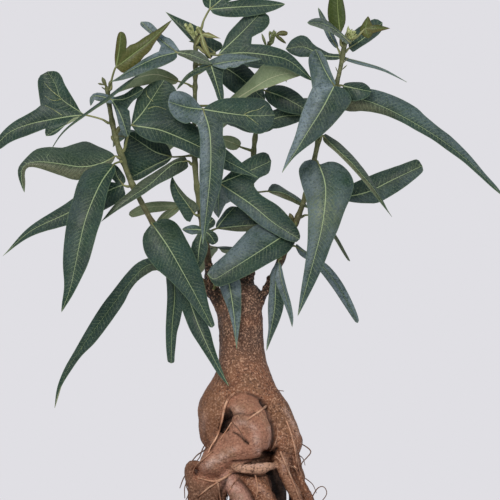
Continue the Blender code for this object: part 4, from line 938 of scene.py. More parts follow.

# %% Painted highlights on crests
# Crests with a painted highlight: x and z points, width and how bright
PAINTED_HIGHLIGHTS = [
    ([(-35, 178), (-28, 183), (-20, 186.5)], 3.2, 1.0), ([(-17, 190.5), (-10, 193)], 2.0, 0.6),
    ([(-10, 213.5), (-2, 212.5), (4, 207), (5.5, 198), (6, 190)], 2.8, 0.7),
    ([(-12.5, 224), (-7, 221.5)], 2.6, 0.6), ([(15, 209), (16.5, 201.5), (13.5, 193)], 1.6, 0.7),
    ([(-19, 168.5), (-13, 162.5), (-7.5, 154)], 2.8, 0.85),
    ([(2, 167), (8, 161.5), (14.5, 155)], 2.2, 0.4),
    ([(26.7, 184), (27.3, 176)], 1.8, 0.7), ([(28, 223), (34.5, 211.5), (38.5, 203)], 2.0, 0.6),
    ([(-36, 219), (-37, 207)], 2.4, 0.3), ([(-8, 179), (2, 179.5), (12, 180)], 1.4, 0.8),
]
painted_highlight = np.zeros(len(places))
for line, width, highlight_strength in PAINTED_HIGHLIGHTS:
    painted_highlight = np.maximum(painted_highlight, highlight_strength * near(line, width))
paint(trunk, "painted_highlight", painted_highlight)
print("worn crests:", len(PAINTED_HIGHLIGHTS))

# %% Bark colours
bark = Skin("bark_skin", 0.7, Specular_IOR_Level=0.4)
height = bark.axes(bark.place)["Z"]
bark.ground(bark.patches(60.0, 0.36, 0.64), (122, 76, 50), (151, 101, 72))
bark.lay(bark.patches(26.0, 0.48, 0.62), 0.35, (136, 104, 74))
# The darker brown of the left roots among these tones is painted shade
for tone, strength, colour in (
        ("orange", 0.85, (114, 74, 48)), ("shaded_brown", 0.75, (104, 72, 54)), ("pink", 0.85, (176, 123, 99)),
        ("rose", 0.9, (196, 146, 130)), ("pale", 0.8, (150, 106, 80)), ("beige", 0.9, (204, 160, 132))):
    bark.lay(bark.mask(tone), strength, colour)
soft = bark.math("MAXIMUM", bark.mask("pink"), bark.mask("rose"))
streaks = bark.times(bark.patches(280.0, 0.46, 0.62, bark.stretched(1.0, 1.0, 2.6)), soft)
bark.lay(streaks, 0.42, (120, 80, 58))
bark.lay(bark.times(bark.patches(70.0, 0.5, 0.66), soft), 0.6, (142, 108, 80))
# Painted highlight: the crests are painted pale pink, as if they caught the light
bark.lay(bark.times(bark.mask("painted_highlight"), bark.patches(210.0, 0.3, 0.62)), 0.8, (212, 177, 162))
neck = bark.times(bark.ramp(height, 0.238, 0.288), bark.patches(45.0, 0.2, 0.55))
bark.lay(neck, 0.88, (80, 60, 47))
# Painted shade: the tap roots in the gaps between the front roots are painted near black
bark.lay(bark.mask("dark"), 1, (46, 30, 22))
bark.lay(bark.times(bark.mask("stub"), bark.ramp(height, 0.300, 0.313)), 1, (46, 35, 26))
print("bark:", len(bark.tree.nodes), "nodes before its grain")

# %% Bark grain
# Flakes and pores are thinner on smooth skin and in the shade
shade = bark.math("MAXIMUM", bark.mask("painted_crease_shade"), bark.mask("dark"))
smooth = bark.math("MAXIMUM", bark.mask("orange"), bark.math("MAXIMUM", bark.mask("shaded_brown"), soft))
rough = bark.math("SUBTRACT", 1.0, bark.times(smooth, 0.55))
rough = bark.times(rough, bark.math("SUBTRACT", 1.0, bark.times(shade, 0.9)))
bark.lay(bark.times(bark.patches(640.0, 0.5, 0.62), rough), 0.68, (212, 166, 136))
pores = bark.times(bark.patches(560.0, 0.53, 0.62), bark.patches(50.0, 0.15, 0.5))
bark.lay(bark.times(pores, rough), 0.85, (72, 42, 30))
dots = bark.times(bark.specks(420.0, 0.8), bark.patches(40.0, 0.4, 0.6))
bark.lay(dots, 0.34, (70, 44, 32))
# Painted shade: the creases are painted near black
bark.lay(bark.mask("painted_crease_shade"), 0.95, (24, 15, 11))
bark.colour()
bark.roughness(bark.patches(120.0, 0.35, 0.65), 0.42, 0.7)
bark.bump(bark.math("ADD", bark.patches(400.0, 0.25, 0.75), bark.times(dots, -0.6)), 1.1, 0.8)
settle(trunk, "trunk", "bark", bark.material)
print("bark:", len(bark.tree.nodes), "nodes")

# %% [markdown]
# ## Feeder roots
#
# Thin roots run over the thick ones, and a few hang free like wiry hairs. Each is led
# through points in the picture's plane, and the points of a clinging root are set down on
# the skin behind them, so that the root lies on it from every side.

# %% Clinging roots
# Radius, then x and z points on the front of the trunk
CLINGING_ROOTS = [
    (1.1, [(-11.5, 236.5), (-16.5, 233), (-20, 225), (-22.5, 213.5), (-26, 202), (-31.5, 193),
           (-33, 189)]),
    (1.15, [(-15, 173), (-21, 168.5), (-28, 166), (-35, 167), (-41.5, 168.5)]),
    (0.95, [(-19, 170), (-27, 164.5), (-34, 160), (-42, 153)]),
    (0.8, [(-25.5, 165), (-24.5, 158), (-23, 148), (-23, 138)]),
    (0.6, [(-14.5, 213), (-18, 207.5), (-24, 199)]),
    (0.9, [(13, 226), (8, 222.5), (1, 217.8), (-3, 215)]),
    (0.8, [(24, 190), (29, 178), (34, 166), (42, 146)]),
    (0.6, [(33, 203), (37, 190), (39, 176), (46, 160)]),
    (0.6, [(29, 214), (33, 203), (36, 190), (37, 180)]),
    (0.7, [(4, 172), (6, 162), (4, 148)]),
    (0.7, [(-30, 190), (-37, 184), (-44, 177), (-47, 168)]),
    (0.55, [(16, 190), (19, 194), (22, 203), (21, 212)]),
    (0.5, [(35, 178), (41, 172), (43, 168)]),
    (0.5, [(-10, 168), (-16, 160), (-19, 148)]),
    (0.55, [(20, 186), (27, 180), (35, 177), (39, 170)]),
]
ROOT_SPREAD = 2.2


def front_of(piece):
    """A function that gives the depth of the piece's front at an x and z, all in millimetres."""
    tree = BVHTree.FromPolygons(
        [vertex.co for vertex in piece.data.vertices],
        [tuple(face.vertices) for face in piece.data.polygons])

    def depth_at(x, z):
        hit = tree.ray_cast(Vector((x, -200, z)) * MM, Vector((0, 1, 0)))[0]
        return hit.y / MM if hit else None

    return depth_at


trunk_front = front_of(trunk)


def set_down(x, z, radius):
    """A root's place on the skin as seen from the front, lifted a little over creases."""
    hits = []
    for aside, up in ((0, 0), (1, 0), (-1, 0), (0, 1), (0, -1)):
        hits.append(trunk_front(x + aside * ROOT_SPREAD, z + up * ROOT_SPREAD) or 0.0)
    return (x, min(hits[0], 0.5 * (hits[0] + min(hits)) + 0.2) - 0.5 * radius, z)


feeders = []
for k, (radius, line) in enumerate(CLINGING_ROOTS):
    seats = np.array([set_down(x, z, radius) for x, _, z in evenly(flat_curve(line), 2.0)])
    seats[1:-1] = (seats[:-2] + 2 * seats[1:-1] + seats[2:]) / 4
    thin = radius * np.linspace(1.1, 0.55, len(seats))
    feeders.append(tube(np.column_stack([seats, thin]), 1))
    paint(feeders[-1], "aged", np.full(len(feeders[-1].data.vertices), 0.16 * (k % 4)))
print("clinging roots:", len(feeders))

# %% Free roots
# Points of x, y, z and radius
FREE_ROOTS = [
    [(36, -8, 196, 0.6), (41.5, -10, 195, 0.55), (48.5, -11, 189.5, 0.5), (45, -11, 184, 0.45),
     (41.5, -10, 180, 0.45), (40, -9, 172, 0.35)],
    [(49, -11, 152, 0.6), (54, -12, 160, 0.5), (59, -12, 161, 0.45), (61, -12, 155, 0.4),
     (54, -11, 146, 0.3)],
    [(-31, -9, 194, 0.7), (-36, -11, 190.5, 0.6), (-42, -12, 186.5, 0.5), (-46, -12, 182, 0.45)],
    [(-35, -9, 196, 0.5), (-38, -11, 191, 0.5), (-40, -12, 185, 0.4), (-43, -12, 181, 0.35)],
    [(-49, -14, 174, 0.6), (-53, -14, 168, 0.5), (-56, -13, 160, 0.35)],
    [(-49, -14, 168, 0.6), (-52, -14, 161, 0.5), (-52, -13, 152, 0.4)],
    [(-50, -15, 170, 0.5), (-51, -15, 163, 0.5), (-49, -15, 156, 0.4), (-52, -14, 149, 0.3)],
    [(17, -14, 236, 0.6), (22, -15, 238, 0.45), (27, -14, 237.5, 0.3)],
    [(36, -9, 188, 0.5), (42, -9, 184, 0.4), (44, -9, 178, 0.3)],
    [(35, -12, 174, 0.6), (40, -12, 175, 0.5), (43, -12, 171, 0.4), (41, -12, 168, 0.3)],
    [(-4, -40, 199, 0.35), (-9, -38, 208, 0.3), (-15, -31, 214, 0.3)],
    [(44, -12, 168, 0.5), (50, -12, 163, 0.4), (53, -11, 156, 0.3)],
]

for k, points in enumerate(FREE_ROOTS):
    feeders.append(grown_tube(points, 1.6, 90 + k, 0.1, 1))
    paint(feeders[-1], "aged", np.full(len(feeders[-1].data.vertices), 0.85))
feeder_roots = join(feeders, "feeder_roots")

feeder_skin = Skin("feeder_root_skin", 0.7)
feeder_skin.ground(feeder_skin.patches(120.0, 0.35, 0.65), (198, 144, 112), (228, 182, 150))
feeder_skin.lay(feeder_skin.patches(40.0, 0.5, 0.65), 1, (128, 84, 60))
feeder_skin.lay(feeder_skin.specks(700.0, 0.7), 0.6, (84, 54, 40))
feeder_skin.lay(feeder_skin.mask("aged"), 1, (78, 54, 40))
feeder_skin.colour()
feeder_skin.roughness(feeder_skin.patches(200.0, 0.3, 0.7), 0.6, 0.85)
settle(feeder_roots, "trunk", "bark", feeder_skin.material)
print("feeder roots:", len(feeders), "of", count(feeder_roots), "triangles")

# %% [markdown]
# ## The plan of the leaves
#
# A bottle tree carries two kinds of leaf at once: simple ones like a willow's, and lobed
# ones. A leaf here is a stalk and one or more lobes that share a joint. A lobe is a midrib
# with a half width and an outline, and where its edge is seen well, the edge is led
# through points in the picture's plane instead, with `before` and `after` as its two
# sides. Lobes are listed clockwise as seen from the upper face, so `after` of one faces
# `before` of the next, and an edge that two lobes share starts at the notch between them.
# A pair of values says how much blue grey sheen is painted on the two sides, as a painted
# reflection, and `bronze` how brown they are, over a share of the length. Midribs are rows
# of x, y, z and edges rows of x, z, written on as one line of numbers. Blades could be
# drawn as curves by hand too, but a table can be read against the plant and changed leaf
# by leaf.

# %% Leaf shapes
# How fast a lobe widens from its base and narrows to its tip
LONG = (0.45, 1.15)
BLADE = (0.5, 0.75)
HEART = (0.25, 1.3)
ROUND = (0.6, 0.42)
SPOON = (1.0, 0.42)
STRAP = (0.3, 0.32)

# Directions that a blade's upper face looks in
FRONT = (-0.1, -1.0, 0.3)
LEFT_UP = (-0.6, -0.8, 0.5)
UNDER = (0.0, 0.9, 0.35)
ROOF = -18.0


def in_groups(numbers, size):
    """A row of numbers as points of this many."""
    return [numbers[k:k + size] for k in range(0, len(numbers), size)]


def lobe(half_width, outline, midrib, before=(), after=(), face=FRONT, painted_sheen=(0.15, 0.15),
         bronze=(0.0, 0.0), bronze_reach=9.0, rib=1.0):
    """A lobe: half width, outline, midrib after the joint, edges, facing, tints and rib."""
    return {
        "half_width": half_width, "outline": outline, "points": in_groups(midrib, 3),
        "edges": (in_groups(before, 2), in_groups(after, 2)),
        "faces": face if isinstance(face[0], tuple) else (face, face),
        "painted_sheen": painted_sheen, "bronze": bronze, "bronze_reach": bronze_reach, "rib": rib,
    }


def leaf(number, seat, joint, *lobes, carrier=None, via=(), web=18.0, young=False, sallow=None):
    """A leaf on its carrier at a point near the axis, with its stalk led through via."""
    return {
        "number": number, "carrier": carrier, "seat": seat, "joint": joint, "lobes": lobes,
        "via": in_groups(via, 3), "web": web, "young": young, "sallow": sallow,
    }


print("a LONG lobe is widest at", round(LONG[0] / sum(LONG), 2), "of its length")

# %% Leaves on the left stem
LEFT_LEAVES = [
    leaf(1, (-110, -23, 451), (-130, -27, 457),
        lobe(4.5, ROUND, (-147, -28, 449, -162, -28, 440.5), before=(-134, 456.5, -140, 455, -146, 450,
          -152, 444, -157, 441), after=(-162.5, 446.5, -162.8, 443.5)),
        lobe(9.0, LONG, (-141, -28, 456.5, -156, -28, 454, -175, -26, 450, -192, -24, 443,
          -206, -22, 428), before=(-162.5, 446.5, -177, 441, -190, 436, -198.5, 430.5),
          after=(-166.5, 465, -170, 462, -177, 458, -187, 452.5, -196, 445, -202, 437)),
        lobe(14.0, SPOON, (-141, -27, 463.6, -150.6, -26, 471, -154.4, -25, 481, -161, -24, 492),
          before=(-166.5, 465, -168, 475, -168.8, 484, -166.5, 489), after=(-134, 459, -138, 466,
          -147, 481, -150, 488, -154, 492), rib=0.7),
        via=(-118, -25, 454), web=32),
    leaf(2, (-113, -25, 478), (-106.5, -29, 495),
        lobe(4.5, STRAP, (-104, -30, 508, -102.3, -30, 523.4), before=(-107, 497, -107.4, 503,
          -106.8, 509.3, -105.9, 516.4, -105, 520.6, -103.9, 522.7), after=(-98.3, 510, -97.9, 515,
          -98.7, 520, -100.4, 522.7), bronze=(0.5, 0.2)),
        lobe(7.0, BLADE, (-94, -29, 504.5, -78, -27, 517, -62, -24, 533), before=(-98.3, 510,
          -95.5, 512.7, -93, 513.8, -90, 514.6, -85, 518.4, -74, 525, -66, 530.5),
          after=(-103.5, 491.8, -98, 490.5, -91, 495, -87, 500, -84, 504, -79.5, 508, -76, 514,
          -71, 521, -66, 527), bronze=(0.35, 0.6)),
        via=(-110, -27, 485), web=12, young=True),
    leaf(3, (-112.5, -24, 468.5), (-110, -29, 469.5),
        lobe(6.0, BLADE, (-104, -32, 460, -100, -33, 450, -97, -32, 440), before=(-97, 462, -95.4, 456,
          -94.6, 450, -95.3, 443), after=(-109, 466, -106, 457.5, -104, 449, -100, 441),
          painted_sheen=(0.2, 0.75)),
        lobe(4.0, BLADE, (-119, -31, 472, -125, -31, 471.5, -126.5, -31, 464.5), face=LEFT_UP,
          painted_sheen=(0.9, 0.9)),
        lobe(6.0, ROUND, (-101, -28, 469.5, -92, -26, 473.5, -84.5, -24, 478), before=(-107, 471.5,
          -99.5, 474, -95.5, 477, -91, 479.8, -87, 480), after=(-97, 462, -94.5, 467, -90, 470.5,
          -86.5, 474)),
        web=9),
    leaf(4, (-103, -21.5, 428), (-94.4, -27, 449),
        lobe(14.0, ROUND, (-84, -27, 461, -68, -30, 485), before=(-94, 452, -92.5, 460, -89, 472.5,
          -81, 481, -74, 484.5), after=(-57, 455, -55, 464, -57, 473, -60.5, 480, -65, 484)),
        lobe(10.5, LONG, (-80, -28, 447, -67.5, -27, 444, -41, -25, 432.5, -15, -23, 419,
          6.4, -22, 407.6), before=(-57, 455, -47, 451, -36, 443, -20, 431, -5, 418), after=(-90, 443,
          -86, 440, -77.5, 436, -69, 435, -55, 430, -41, 423, -20, 414)),
        via=(-97, -25, 441), web=26),
    leaf(5, (-94, -18.5, 402), (-101, -19, 402),
        lobe(12.0, HEART, (-115, -18, 396, -144, -16, 380, -175, -12, 365, -197.5, -8, 345)),
        lobe(5.5, BLADE, (-106, -16, 409, -108, -12, 418)),
        web=8),
    leaf(6, (-101.5, -21, 421), (-108, -30, 418),
        lobe(16.5, LONG, (-119, -45, 401, -130, -57, 373, -138, -62, 336, -142, -64, 318,
          -148.5, -62, 301), before=(-107, 412, -111, 402, -114, 390, -117, 375, -121, 362.5,
          -127, 341, -133, 327.5, -139.4, 315, -145, 306), after=(-119, 419, -130, 414, -136.5, 403,
          -139.5, 392, -144, 375, -146.5, 357, -147.5, 340, -146.3, 322, -148, 308), painted_sheen=(0.1, 0.2)),
        via=(-104, -25, 420)),
    leaf(7, (-102, -21.5, 424), (-107, -26, 424.5),
        lobe(16.5, (0.45, 0.9), (-119, -28, 418.5, -134, -30, 416, -152, -31, 418.5, -168, -31, 420,
          -179, -31, 417, -181.5, -31, 408, -179, -31, 395.5), before=(-109, 420, -117, 411.5,
          -136, 405.5, -150, 409, -160, 412.5, -170, 415.5, -176.5, 415.5, -178.8, 411, -178.5, 404),
          after=(-111, 428, -121, 432.5, -131, 436.5, -140, 434.5, -149, 431.5, -160, 431.8, -170, 430,
          -177, 424, -183.5, 416, -184, 409, -181.5, 401), face=(-0.1, -1.0, 0.45),
          bronze=(0.9, 0.15))),
    leaf(8, (-77, -14, 371), (-78, -24, 371),
        lobe(17.5, HEART, (-65, -31, 352.5, -52.5, -36, 331, -41, -38, 310, -29.8, -38, 288.5),
          before=(-75, 372.5, -68, 375, -61, 373, -56, 368, -51, 359, -45, 347.5, -40, 335, -36, 321,
          -32.5, 305, -28.2, 291), after=(-79.8, 369, -84.4, 362.5, -85.2, 355, -82.5, 346, -74, 335,
          -62.5, 325, -51, 312.5, -41, 300, -32.5, 289.5), face=(0.1, -1.0, 0.25)),
        via=(-77.5, -19, 371.5)),
    leaf(9, (-57, -10, 344), (-62, -16, 339),
        lobe(7.5, LONG, (-50, -16, 314, -41, -22, 290, -29, -29, 264, -16.8, -32, 242),
          before=(-56, 334, -49, 322, -41, 304, -32.5, 287.5, -29, 275, -25, 262.5, -20.5, 250),
          after=(-54, 302, -47.5, 286, -40, 274, -32.5, 262.5, -25, 251)),
        lobe(6.5, STRAP, (-60, -10, 315, -62, -9, 290, -63, -9, 259.5), before=(-54, 302, -56, 292,
          -58.3, 284, -59.4, 274, -60.2, 266, -60.6, 260.6), after=(-67, 330, -66, 314, -66.6, 300,
          -67.2, 287, -67, 275, -66.4, 267, -65.4, 260.6)),
        lobe(8.0, LONG, (-78, -12, 339, -90, -8, 331, -112, -3, 303, -134, 2, 273, -147, 4, 252,
          -156.4, 4, 223.6), before=(-67, 330, -75, 334, -82.5, 330.6, -90, 325, -96, 317.5,
          -101, 307.5, -112.5, 291, -124, 276, -135, 265, -144, 252.5, -151, 241, -154.5, 232),
          after=(-68, 344, -81, 343.5, -90, 339.5, -97.5, 332.5, -107.5, 320, -119, 305, -130, 287.5,
          -140, 270, -149, 254, -154.5, 239), bronze=(0.5, 0.0), bronze_reach=0.3, rib=0.25),
        web=20),
    leaf(10, (-107, -22, 440), (-98, 16, 441),
        lobe(12.0, LONG, (-98, 34, 446, -104, 60, 446, -112, 86, 434), face=(-0.2, 0.3, 1.0)),
        lobe(12.0, LONG, (-90, 32, 445, -82, 56, 443, -76, 80, 430), face=(0.2, 0.3, 1.0)),
        via=(-106, -8, 441, -103, 5, 441)),
]
print("left stem:", len(LEFT_LEAVES), "leaves")

# %% Leaves on the centre stem
CENTRE_LEAVES = [
    leaf(1, (-44, -9, 480), (-57, -12, 484.5),
        lobe(8.5, LONG, (-76, -16, 490, -96, -30, 484, -113, -43, 471, -131, -50, 457.5,
          -148, -54, 443, -160, -55, 424), face=((0.1, 0.85, 0.5), (0.0, 0.85, 0.6), (-0.42, 0.1, 0.9),
          (-0.6, 0.0, 0.8), (-0.6, 0.0, 0.7), (-0.7, 0.0, 0.6))),
        via=(-50, -10, 482.5)),
    leaf(2, (-43.5, -10, 503), (-58, -26, 507),
        lobe(6.5, BLADE, (-75, -34, 502, -95, -40, 492, -110, -42, 483), before=(-58, 503, -62.5, 499,
          -74, 494, -86, 489.5, -99, 485), after=(-72.5, 507.5, -82.5, 502.5, -92.5, 495.5,
          -102.5, 488), face=LEFT_UP, painted_sheen=(0.35, 0.9)),
        lobe(5.5, ROUND, (-71, -19, 517, -87, -13, 532), before=(-72.5, 507.5, -70, 510, -72.5, 515,
          -80, 522.5, -87, 529), after=(-56, 508.5, -62.5, 517.5, -69, 520.5, -74, 526, -80, 531.5),
          face=LEFT_UP, painted_sheen=(0.7, 0.9)),
        lobe(4.8, BLADE, (-47, -27, 505, -30.2, -27, 498), before=(-56, 508.5, -52, 508.8, -45, 509,
          -40, 507.4, -35, 503.6), after=(-57, 505, -51, 502.4, -46, 500, -40, 498.4, -35, 497.4),
          painted_sheen=(0.5, 0.5), bronze=(0.6, 0.6), rib=0.6),
        via=(-50, -16, 505), web=9),
    leaf(3, (-43.5, -10, 490), (-31, -24, 497),
        lobe(7.0, BLADE, (-27, -25, 484, -22, -25, 466), before=(-21, 493.4, -22, 488, -21.7, 481.4,
          -20.8, 473), after=(-35, 492.9, -31.4, 485.7, -27.9, 477.1, -25.5, 470)),
        lobe(4.0, BLADE, (-42, -22, 493.5, -50, -20, 488.5, -58.5, -18, 477.5), before=(-35, 492.9,
          -44.3, 489, -48.8, 486.4, -54.3, 481), after=(-39.3, 496.6, -48.6, 491, -53, 486.6,
          -56.5, 481.5), rib=0.5),
        lobe(6.0, STRAP, (-14, -28, 500, 9, -30, 501.5), before=(-29, 503, -22, 505.6, -10, 505.6,
          0, 504, 5.5, 502.6), after=(-21, 493.4, -15.7, 495.4, -11.4, 494.3, -8.6, 496.4, -3, 498.6,
          4, 500), face=LEFT_UP, painted_sheen=(0.7, 0.8), rib=0.6),
        via=(-37, -16, 493), web=8),
    leaf(4, (-44.2, -8, 425), (-62, -4, 424.5),
        lobe(9.0, BLADE, (-77.5, -2, 417.3, -96, 0, 407.5), before=(-66, 419.5, -76, 413.5, -86, 407.5,
          -92, 405.5), after=(-99.5, 421, -99.5, 415, -98.5, 411)),
        lobe(10.5, BLADE, (-75, -5, 428, -86, -6, 435, -98, -8, 443), before=(-99.5, 421, -100.8, 428,
          -100.5, 437), after=(-64, 430, -68, 435.5, -78, 441.5, -90, 445)),
        via=(-53, -6, 424.8), web=27),
    leaf(5, (-44.3, -8, 418), (-50, -12, 421),
        lobe(7.5, BLADE, (-60, -17, 419, -70, -21, 411, -81, -26, 401, -98, -30, 389.5,
          -118, -33, 372.5), before=(-50, 415.5, -62, 408, -75, 401, -85, 394, -95, 388, -106, 381),
          after=(-52, 424, -59, 422.5, -68, 417, -78, 410.5, -88, 404, -96, 396, -107, 386.5),
          bronze=(0.2, 0.4), rib=0.6)),
    leaf(6, (-39.5, -3.5, 378), (-44.5, -11, 379),
        lobe(7.5, HEART, (-51, -11, 388, -58, -12, 398, -62, -12, 409), before=(-46, 373, -51, 373.5,
          -56, 381.5, -61, 390, -63.6, 399, -63.2, 405), after=(-40.5, 382, -43, 387.5, -49.5, 392,
          -55, 398, -59.5, 404), bronze=(0.0, 0.55), bronze_reach=0.9, rib=0.7)),
    leaf(7, (-40.5, -4.5, 385), (-56, 5, 385.5),
        lobe(4.8, STRAP, (-80, 6, 384.5, -97, 6, 378), face=UNDER, rib=0.5),
        lobe(3.8, BLADE, (-66, 7, 379, -76, 9, 370), face=UNDER, rib=0.5),
        via=(-48, 1, 386), web=8),
    leaf(8, (-37.5, -2, 367), (-38, -10, 366),
        lobe(4.6, ROUND, (-34, -10.5, 370, -29, -11, 375)),
        lobe(5.0, ROUND, (-32, -11, 362, -27.5, -11, 355)),
        lobe(7.2, BLADE, (-40.5, -12, 352, -42, -12, 335)),
        lobe(4.2, BLADE, (-46, -13, 366.5, -54, -14, 366.5), painted_sheen=(0.5, 0.6)),
        web=7),
    leaf(9, (-37, -1, 364), (-27, 1, 367),
        lobe(6.5, ROUND, (-20, 1, 376, -12, 2, 384.8), before=(-27, 371, -23, 377, -19.5, 382,
          -15.5, 384.6), after=(0.5, 374.5, -3, 379, -7.5, 383.5), painted_sheen=(0.3, 0.3)),
        lobe(4.5, BLADE, (-10, 0, 369, 10, -1, 370.5), before=(0.5, 374.5, 4, 373.6),
          after=(-22, 366.3, -10, 364.8, 0, 365.2, 6, 367.5), bronze=(0.0, 0.8)),
        web=14),
    leaf(10, (-42.2, -6, 400), (-24.3, -13, 403.2),
        lobe(11.0, SPOON, (-4, -11, 411.5, 17, -8, 421), before=(-20, 408, -10, 417, 0, 424, 10, 428,
          15, 426), after=(2.5, 402, 7.5, 407.5, 15, 411.5)),
        lobe(10.0, BLADE, (0, -15, 387, 19, -20, 371.5, 39.5, -24, 358.5), before=(2.5, 402, 7.5, 395,
          14, 390.5, 22, 385.5, 30, 377.5, 37.5, 367.5, 39.8, 361.5), after=(-15.5, 388.6, -4, 380,
          5, 372, 15, 365.3, 27.5, 358.6, 36, 356.3), painted_sheen=(0.15, 0.45)),
        lobe(5.5, BLADE, (-25, -15, 391, -25, -14, 375.5), before=(-15.5, 388.6, -19.5, 386.6,
          -22.6, 380.5), after=(-29.5, 398, -31, 390, -29, 381), painted_sheen=(0.75, 0.75), bronze=(0.3, 0.3),
          rib=0.5),
        via=(-33, -10, 402), web=24),
    leaf(11, (-44.3, -8.5, 458), (-37.2, -34, 461.6),
        lobe(15.0, SPOON, (-18, -34, 458.5, 0, -34, 456.5, 19.5, -34, 457), before=(-35, 464,
          -24, 469.5, -11, 471, 0, 471, 8, 470.5, 15, 466.5), after=(-21, 450.5, -15, 450.6, -6, 447,
          2.5, 443, 10, 442.5, 17.5, 448.5)),
        lobe(10.5, LONG, (-32, -38, 444, -31, -43, 418, -33.5, -45, 388, -37.4, -44, 354.5),
          before=(-21, 450.5, -21.5, 440, -19, 429, -20.5, 417.5, -23, 400, -27, 388, -33, 369),
          after=(-42, 449.5, -40, 442, -39.5, 431, -40, 412, -39.5, 390, -39, 371),
          painted_sheen=(0.25, 0.85)),
        lobe(13.0, SPOON, (-50, -37, 463, -65, -40, 467.5), before=(-42, 449.5, -46, 451.5, -51, 450,
          -59, 454, -64, 461), after=(-40, 465, -45, 471, -52.5, 475.5, -60, 476, -64, 473),
          face=LEFT_UP, painted_sheen=(0.7, 0.95)),
        via=(-41, -20, 460), web=13),
    leaf(12, (-41.2, -10, 527), (-32, -12, 542),
        lobe(7.5, BLADE, (-31, -13, 556, -27, -14, 571)),
        lobe(8.0, BLADE, (-19, -13, 553, -3, -14, 565)),
        lobe(8.0, BLADE, (-12, -14, 543.5, 8, -14, 544.5, 28, -13, 546)),
        via=(-37, -11, 533), web=16),
    leaf(13, (-43, -10, 512), (-28, -7, 507.5),
        lobe(7.0, HEART, (-33, -6, 512, -43, -4, 519, -55, -2, 529, -67.5, 1, 540.5),
          before=(-30, 503.5, -33.5, 503, -38, 508.5, -45, 515, -53, 523.6, -60.5, 532),
          after=(-23, 510, -22.5, 515, -28, 518, -33, 521.5, -40, 527.5, -49, 532.2, -60, 537),
          rib=0.6),
        via=(-36, -13.5, 507)),
    leaf(14, (-43, -10, 512), (-25.6, -17, 505.2),
        lobe(11.0, SPOON, (-11, -15, 519, -1, -13, 529, 10, -10, 541), before=(-24, 508, -21.5, 513,
          -17.5, 522.5, -10, 531, -2.5, 538.5, 4, 541), after=(1, 514, 0, 518, 5, 521.5, 11, 525,
          15.5, 531, 14.5, 537.5)),
        lobe(8.5, BLADE, (-5, -19, 507, 17, -21, 504.5, 32, -20, 500, 50, -16, 485), before=(1, 514,
          14, 513, 30, 507.5, 42, 496)),
        via=(-35, -15, 506.5), web=23),
    leaf(15, (-43.6, -10, 497), (-25, -3, 499),
        lobe(13.0, BLADE, (-8, 3, 488, 12, 6, 470), face=(0.1, -1.0, 0.3)),
        via=(-34, -5, 499.5)),
    leaf(16, (-44, -9, 464), (-17, -4, 467),
        lobe(9.5, BLADE, (0, -10, 477.5, 16, -12, 487, 30, -11, 491, 42.5, -9, 491), before=(-7, 469.5,
          4.3, 476.5, 15.7, 480, 27.1, 484.5, 34, 487, 40, 489), after=(-16.4, 470.7, -9.5, 477,
          -2.9, 483, 5.7, 492.4, 10, 497.4, 20, 499.5, 30, 497, 38, 494.5), face=UNDER),
        via=(-30, -6, 465.5), sallow=(38, 490)),
    leaf(17, (-32, -3, 318), (-20, -18, 334),
        lobe(8.5, LONG, (-16, -22, 320, -12.5, -25, 297, -10.5, -26, 271), before=(-14, 335, -8, 326,
          -7, 312.5, -7.2, 300, -8.5, 288, -10, 277), after=(-23.5, 330, -24, 321, -21, 312,
          -17.5, 303, -14, 290, -11.8, 279), face=(-0.2, -1.0, 0.2), painted_sheen=(0.65, 1.0)),
        carrier="trunk", via=(-28, -13, 327)),
    leaf(18, (-44.5, -8, 436), (-50, 12, 440),
        lobe(13.0, LONG, (-58, 34, 444, -66, 66, 440, -72, 98, 426), face=(0.0, 0.3, 1.0)),
        lobe(11.0, LONG, (-44, 34, 442, -38, 62, 436, -36, 92, 420), face=(0.2, 0.3, 1.0)),
        via=(-47, 2, 438), web=20),
    leaf(19, (-35, 0, 353), (-28, 16, 352),
        lobe(11.0, BLADE, (-36, 36, 352, -40, 62, 346, -42, 86, 330), face=(-0.2, 0.3, 1.0)),
        lobe(12.0, BLADE, (-14, 34, 352, -4, 60, 346, 2, 88, 334), face=(0.2, 0.3, 1.0)),
        via=(-32, 8, 353), web=20),
]
print("centre stem:", len(CENTRE_LEAVES), "leaves")

# %% Leaves on the back stem
BACK_LEAVES = [
    leaf(1, (9.2, 28, 480), (12, 15, 478),
        lobe(10.5, BLADE, (28, 11, 472, 49, 8, 460)),
        via=(10, 21, 479)),
    leaf(2, (5.5, 27, 452), (10, 19, 452),
        lobe(8.5, BLADE, (27, 20, 457.5, 46, 20, 458))),
    leaf(3, (1, 21, 398), (14, 8, 397),
        lobe(5.0, SPOON, (28, 6, 395, 48, 8, 383), before=(15.3, 400, 18, 403, 22, 402.8, 28, 398.8,
          36, 394, 43, 388.5), after=(17, 395.3, 24, 392.3, 32.5, 389, 40, 385.5),
          face=(0.2, -0.8, 0.7), painted_sheen=(0.7, 0.0), bronze=(0.3, 0.9), rib=0.5),
        via=(6, 14, 396.5)),
    leaf(4, (3, 24.5, 429), (-8, 18, 433),
        lobe(6.0, BLADE, (-16, 14, 437, -26, 10, 440), face=UNDER)),
    leaf(5, (4, 26, 440), (8, 42, 446),
        lobe(12.0, LONG, (-6, 60, 456, -18, 88, 458, -24, 114, 449), face=(-0.2, 0.1, 1.0)),
        lobe(9.5, LONG, (14, 62, 456, 14, 90, 459, 10, 118, 450), face=(0.1, 0.1, 1.0)),
        via=(5, 34, 443), web=16),
    leaf(6, (11, 28, 492), (12, 44, 498),
        lobe(10.5, LONG, (2, 62, 504, -6, 86, 502, -10, 108, 488), face=(-0.2, 0.3, 1.0)),
        lobe(11.5, LONG, (20, 64, 504, 26, 90, 502, 30, 116, 488), face=(0.2, 0.3, 1.0)),
        via=(11, 36, 495)),
]
print("back stem:", len(BACK_LEAVES), "leaves")

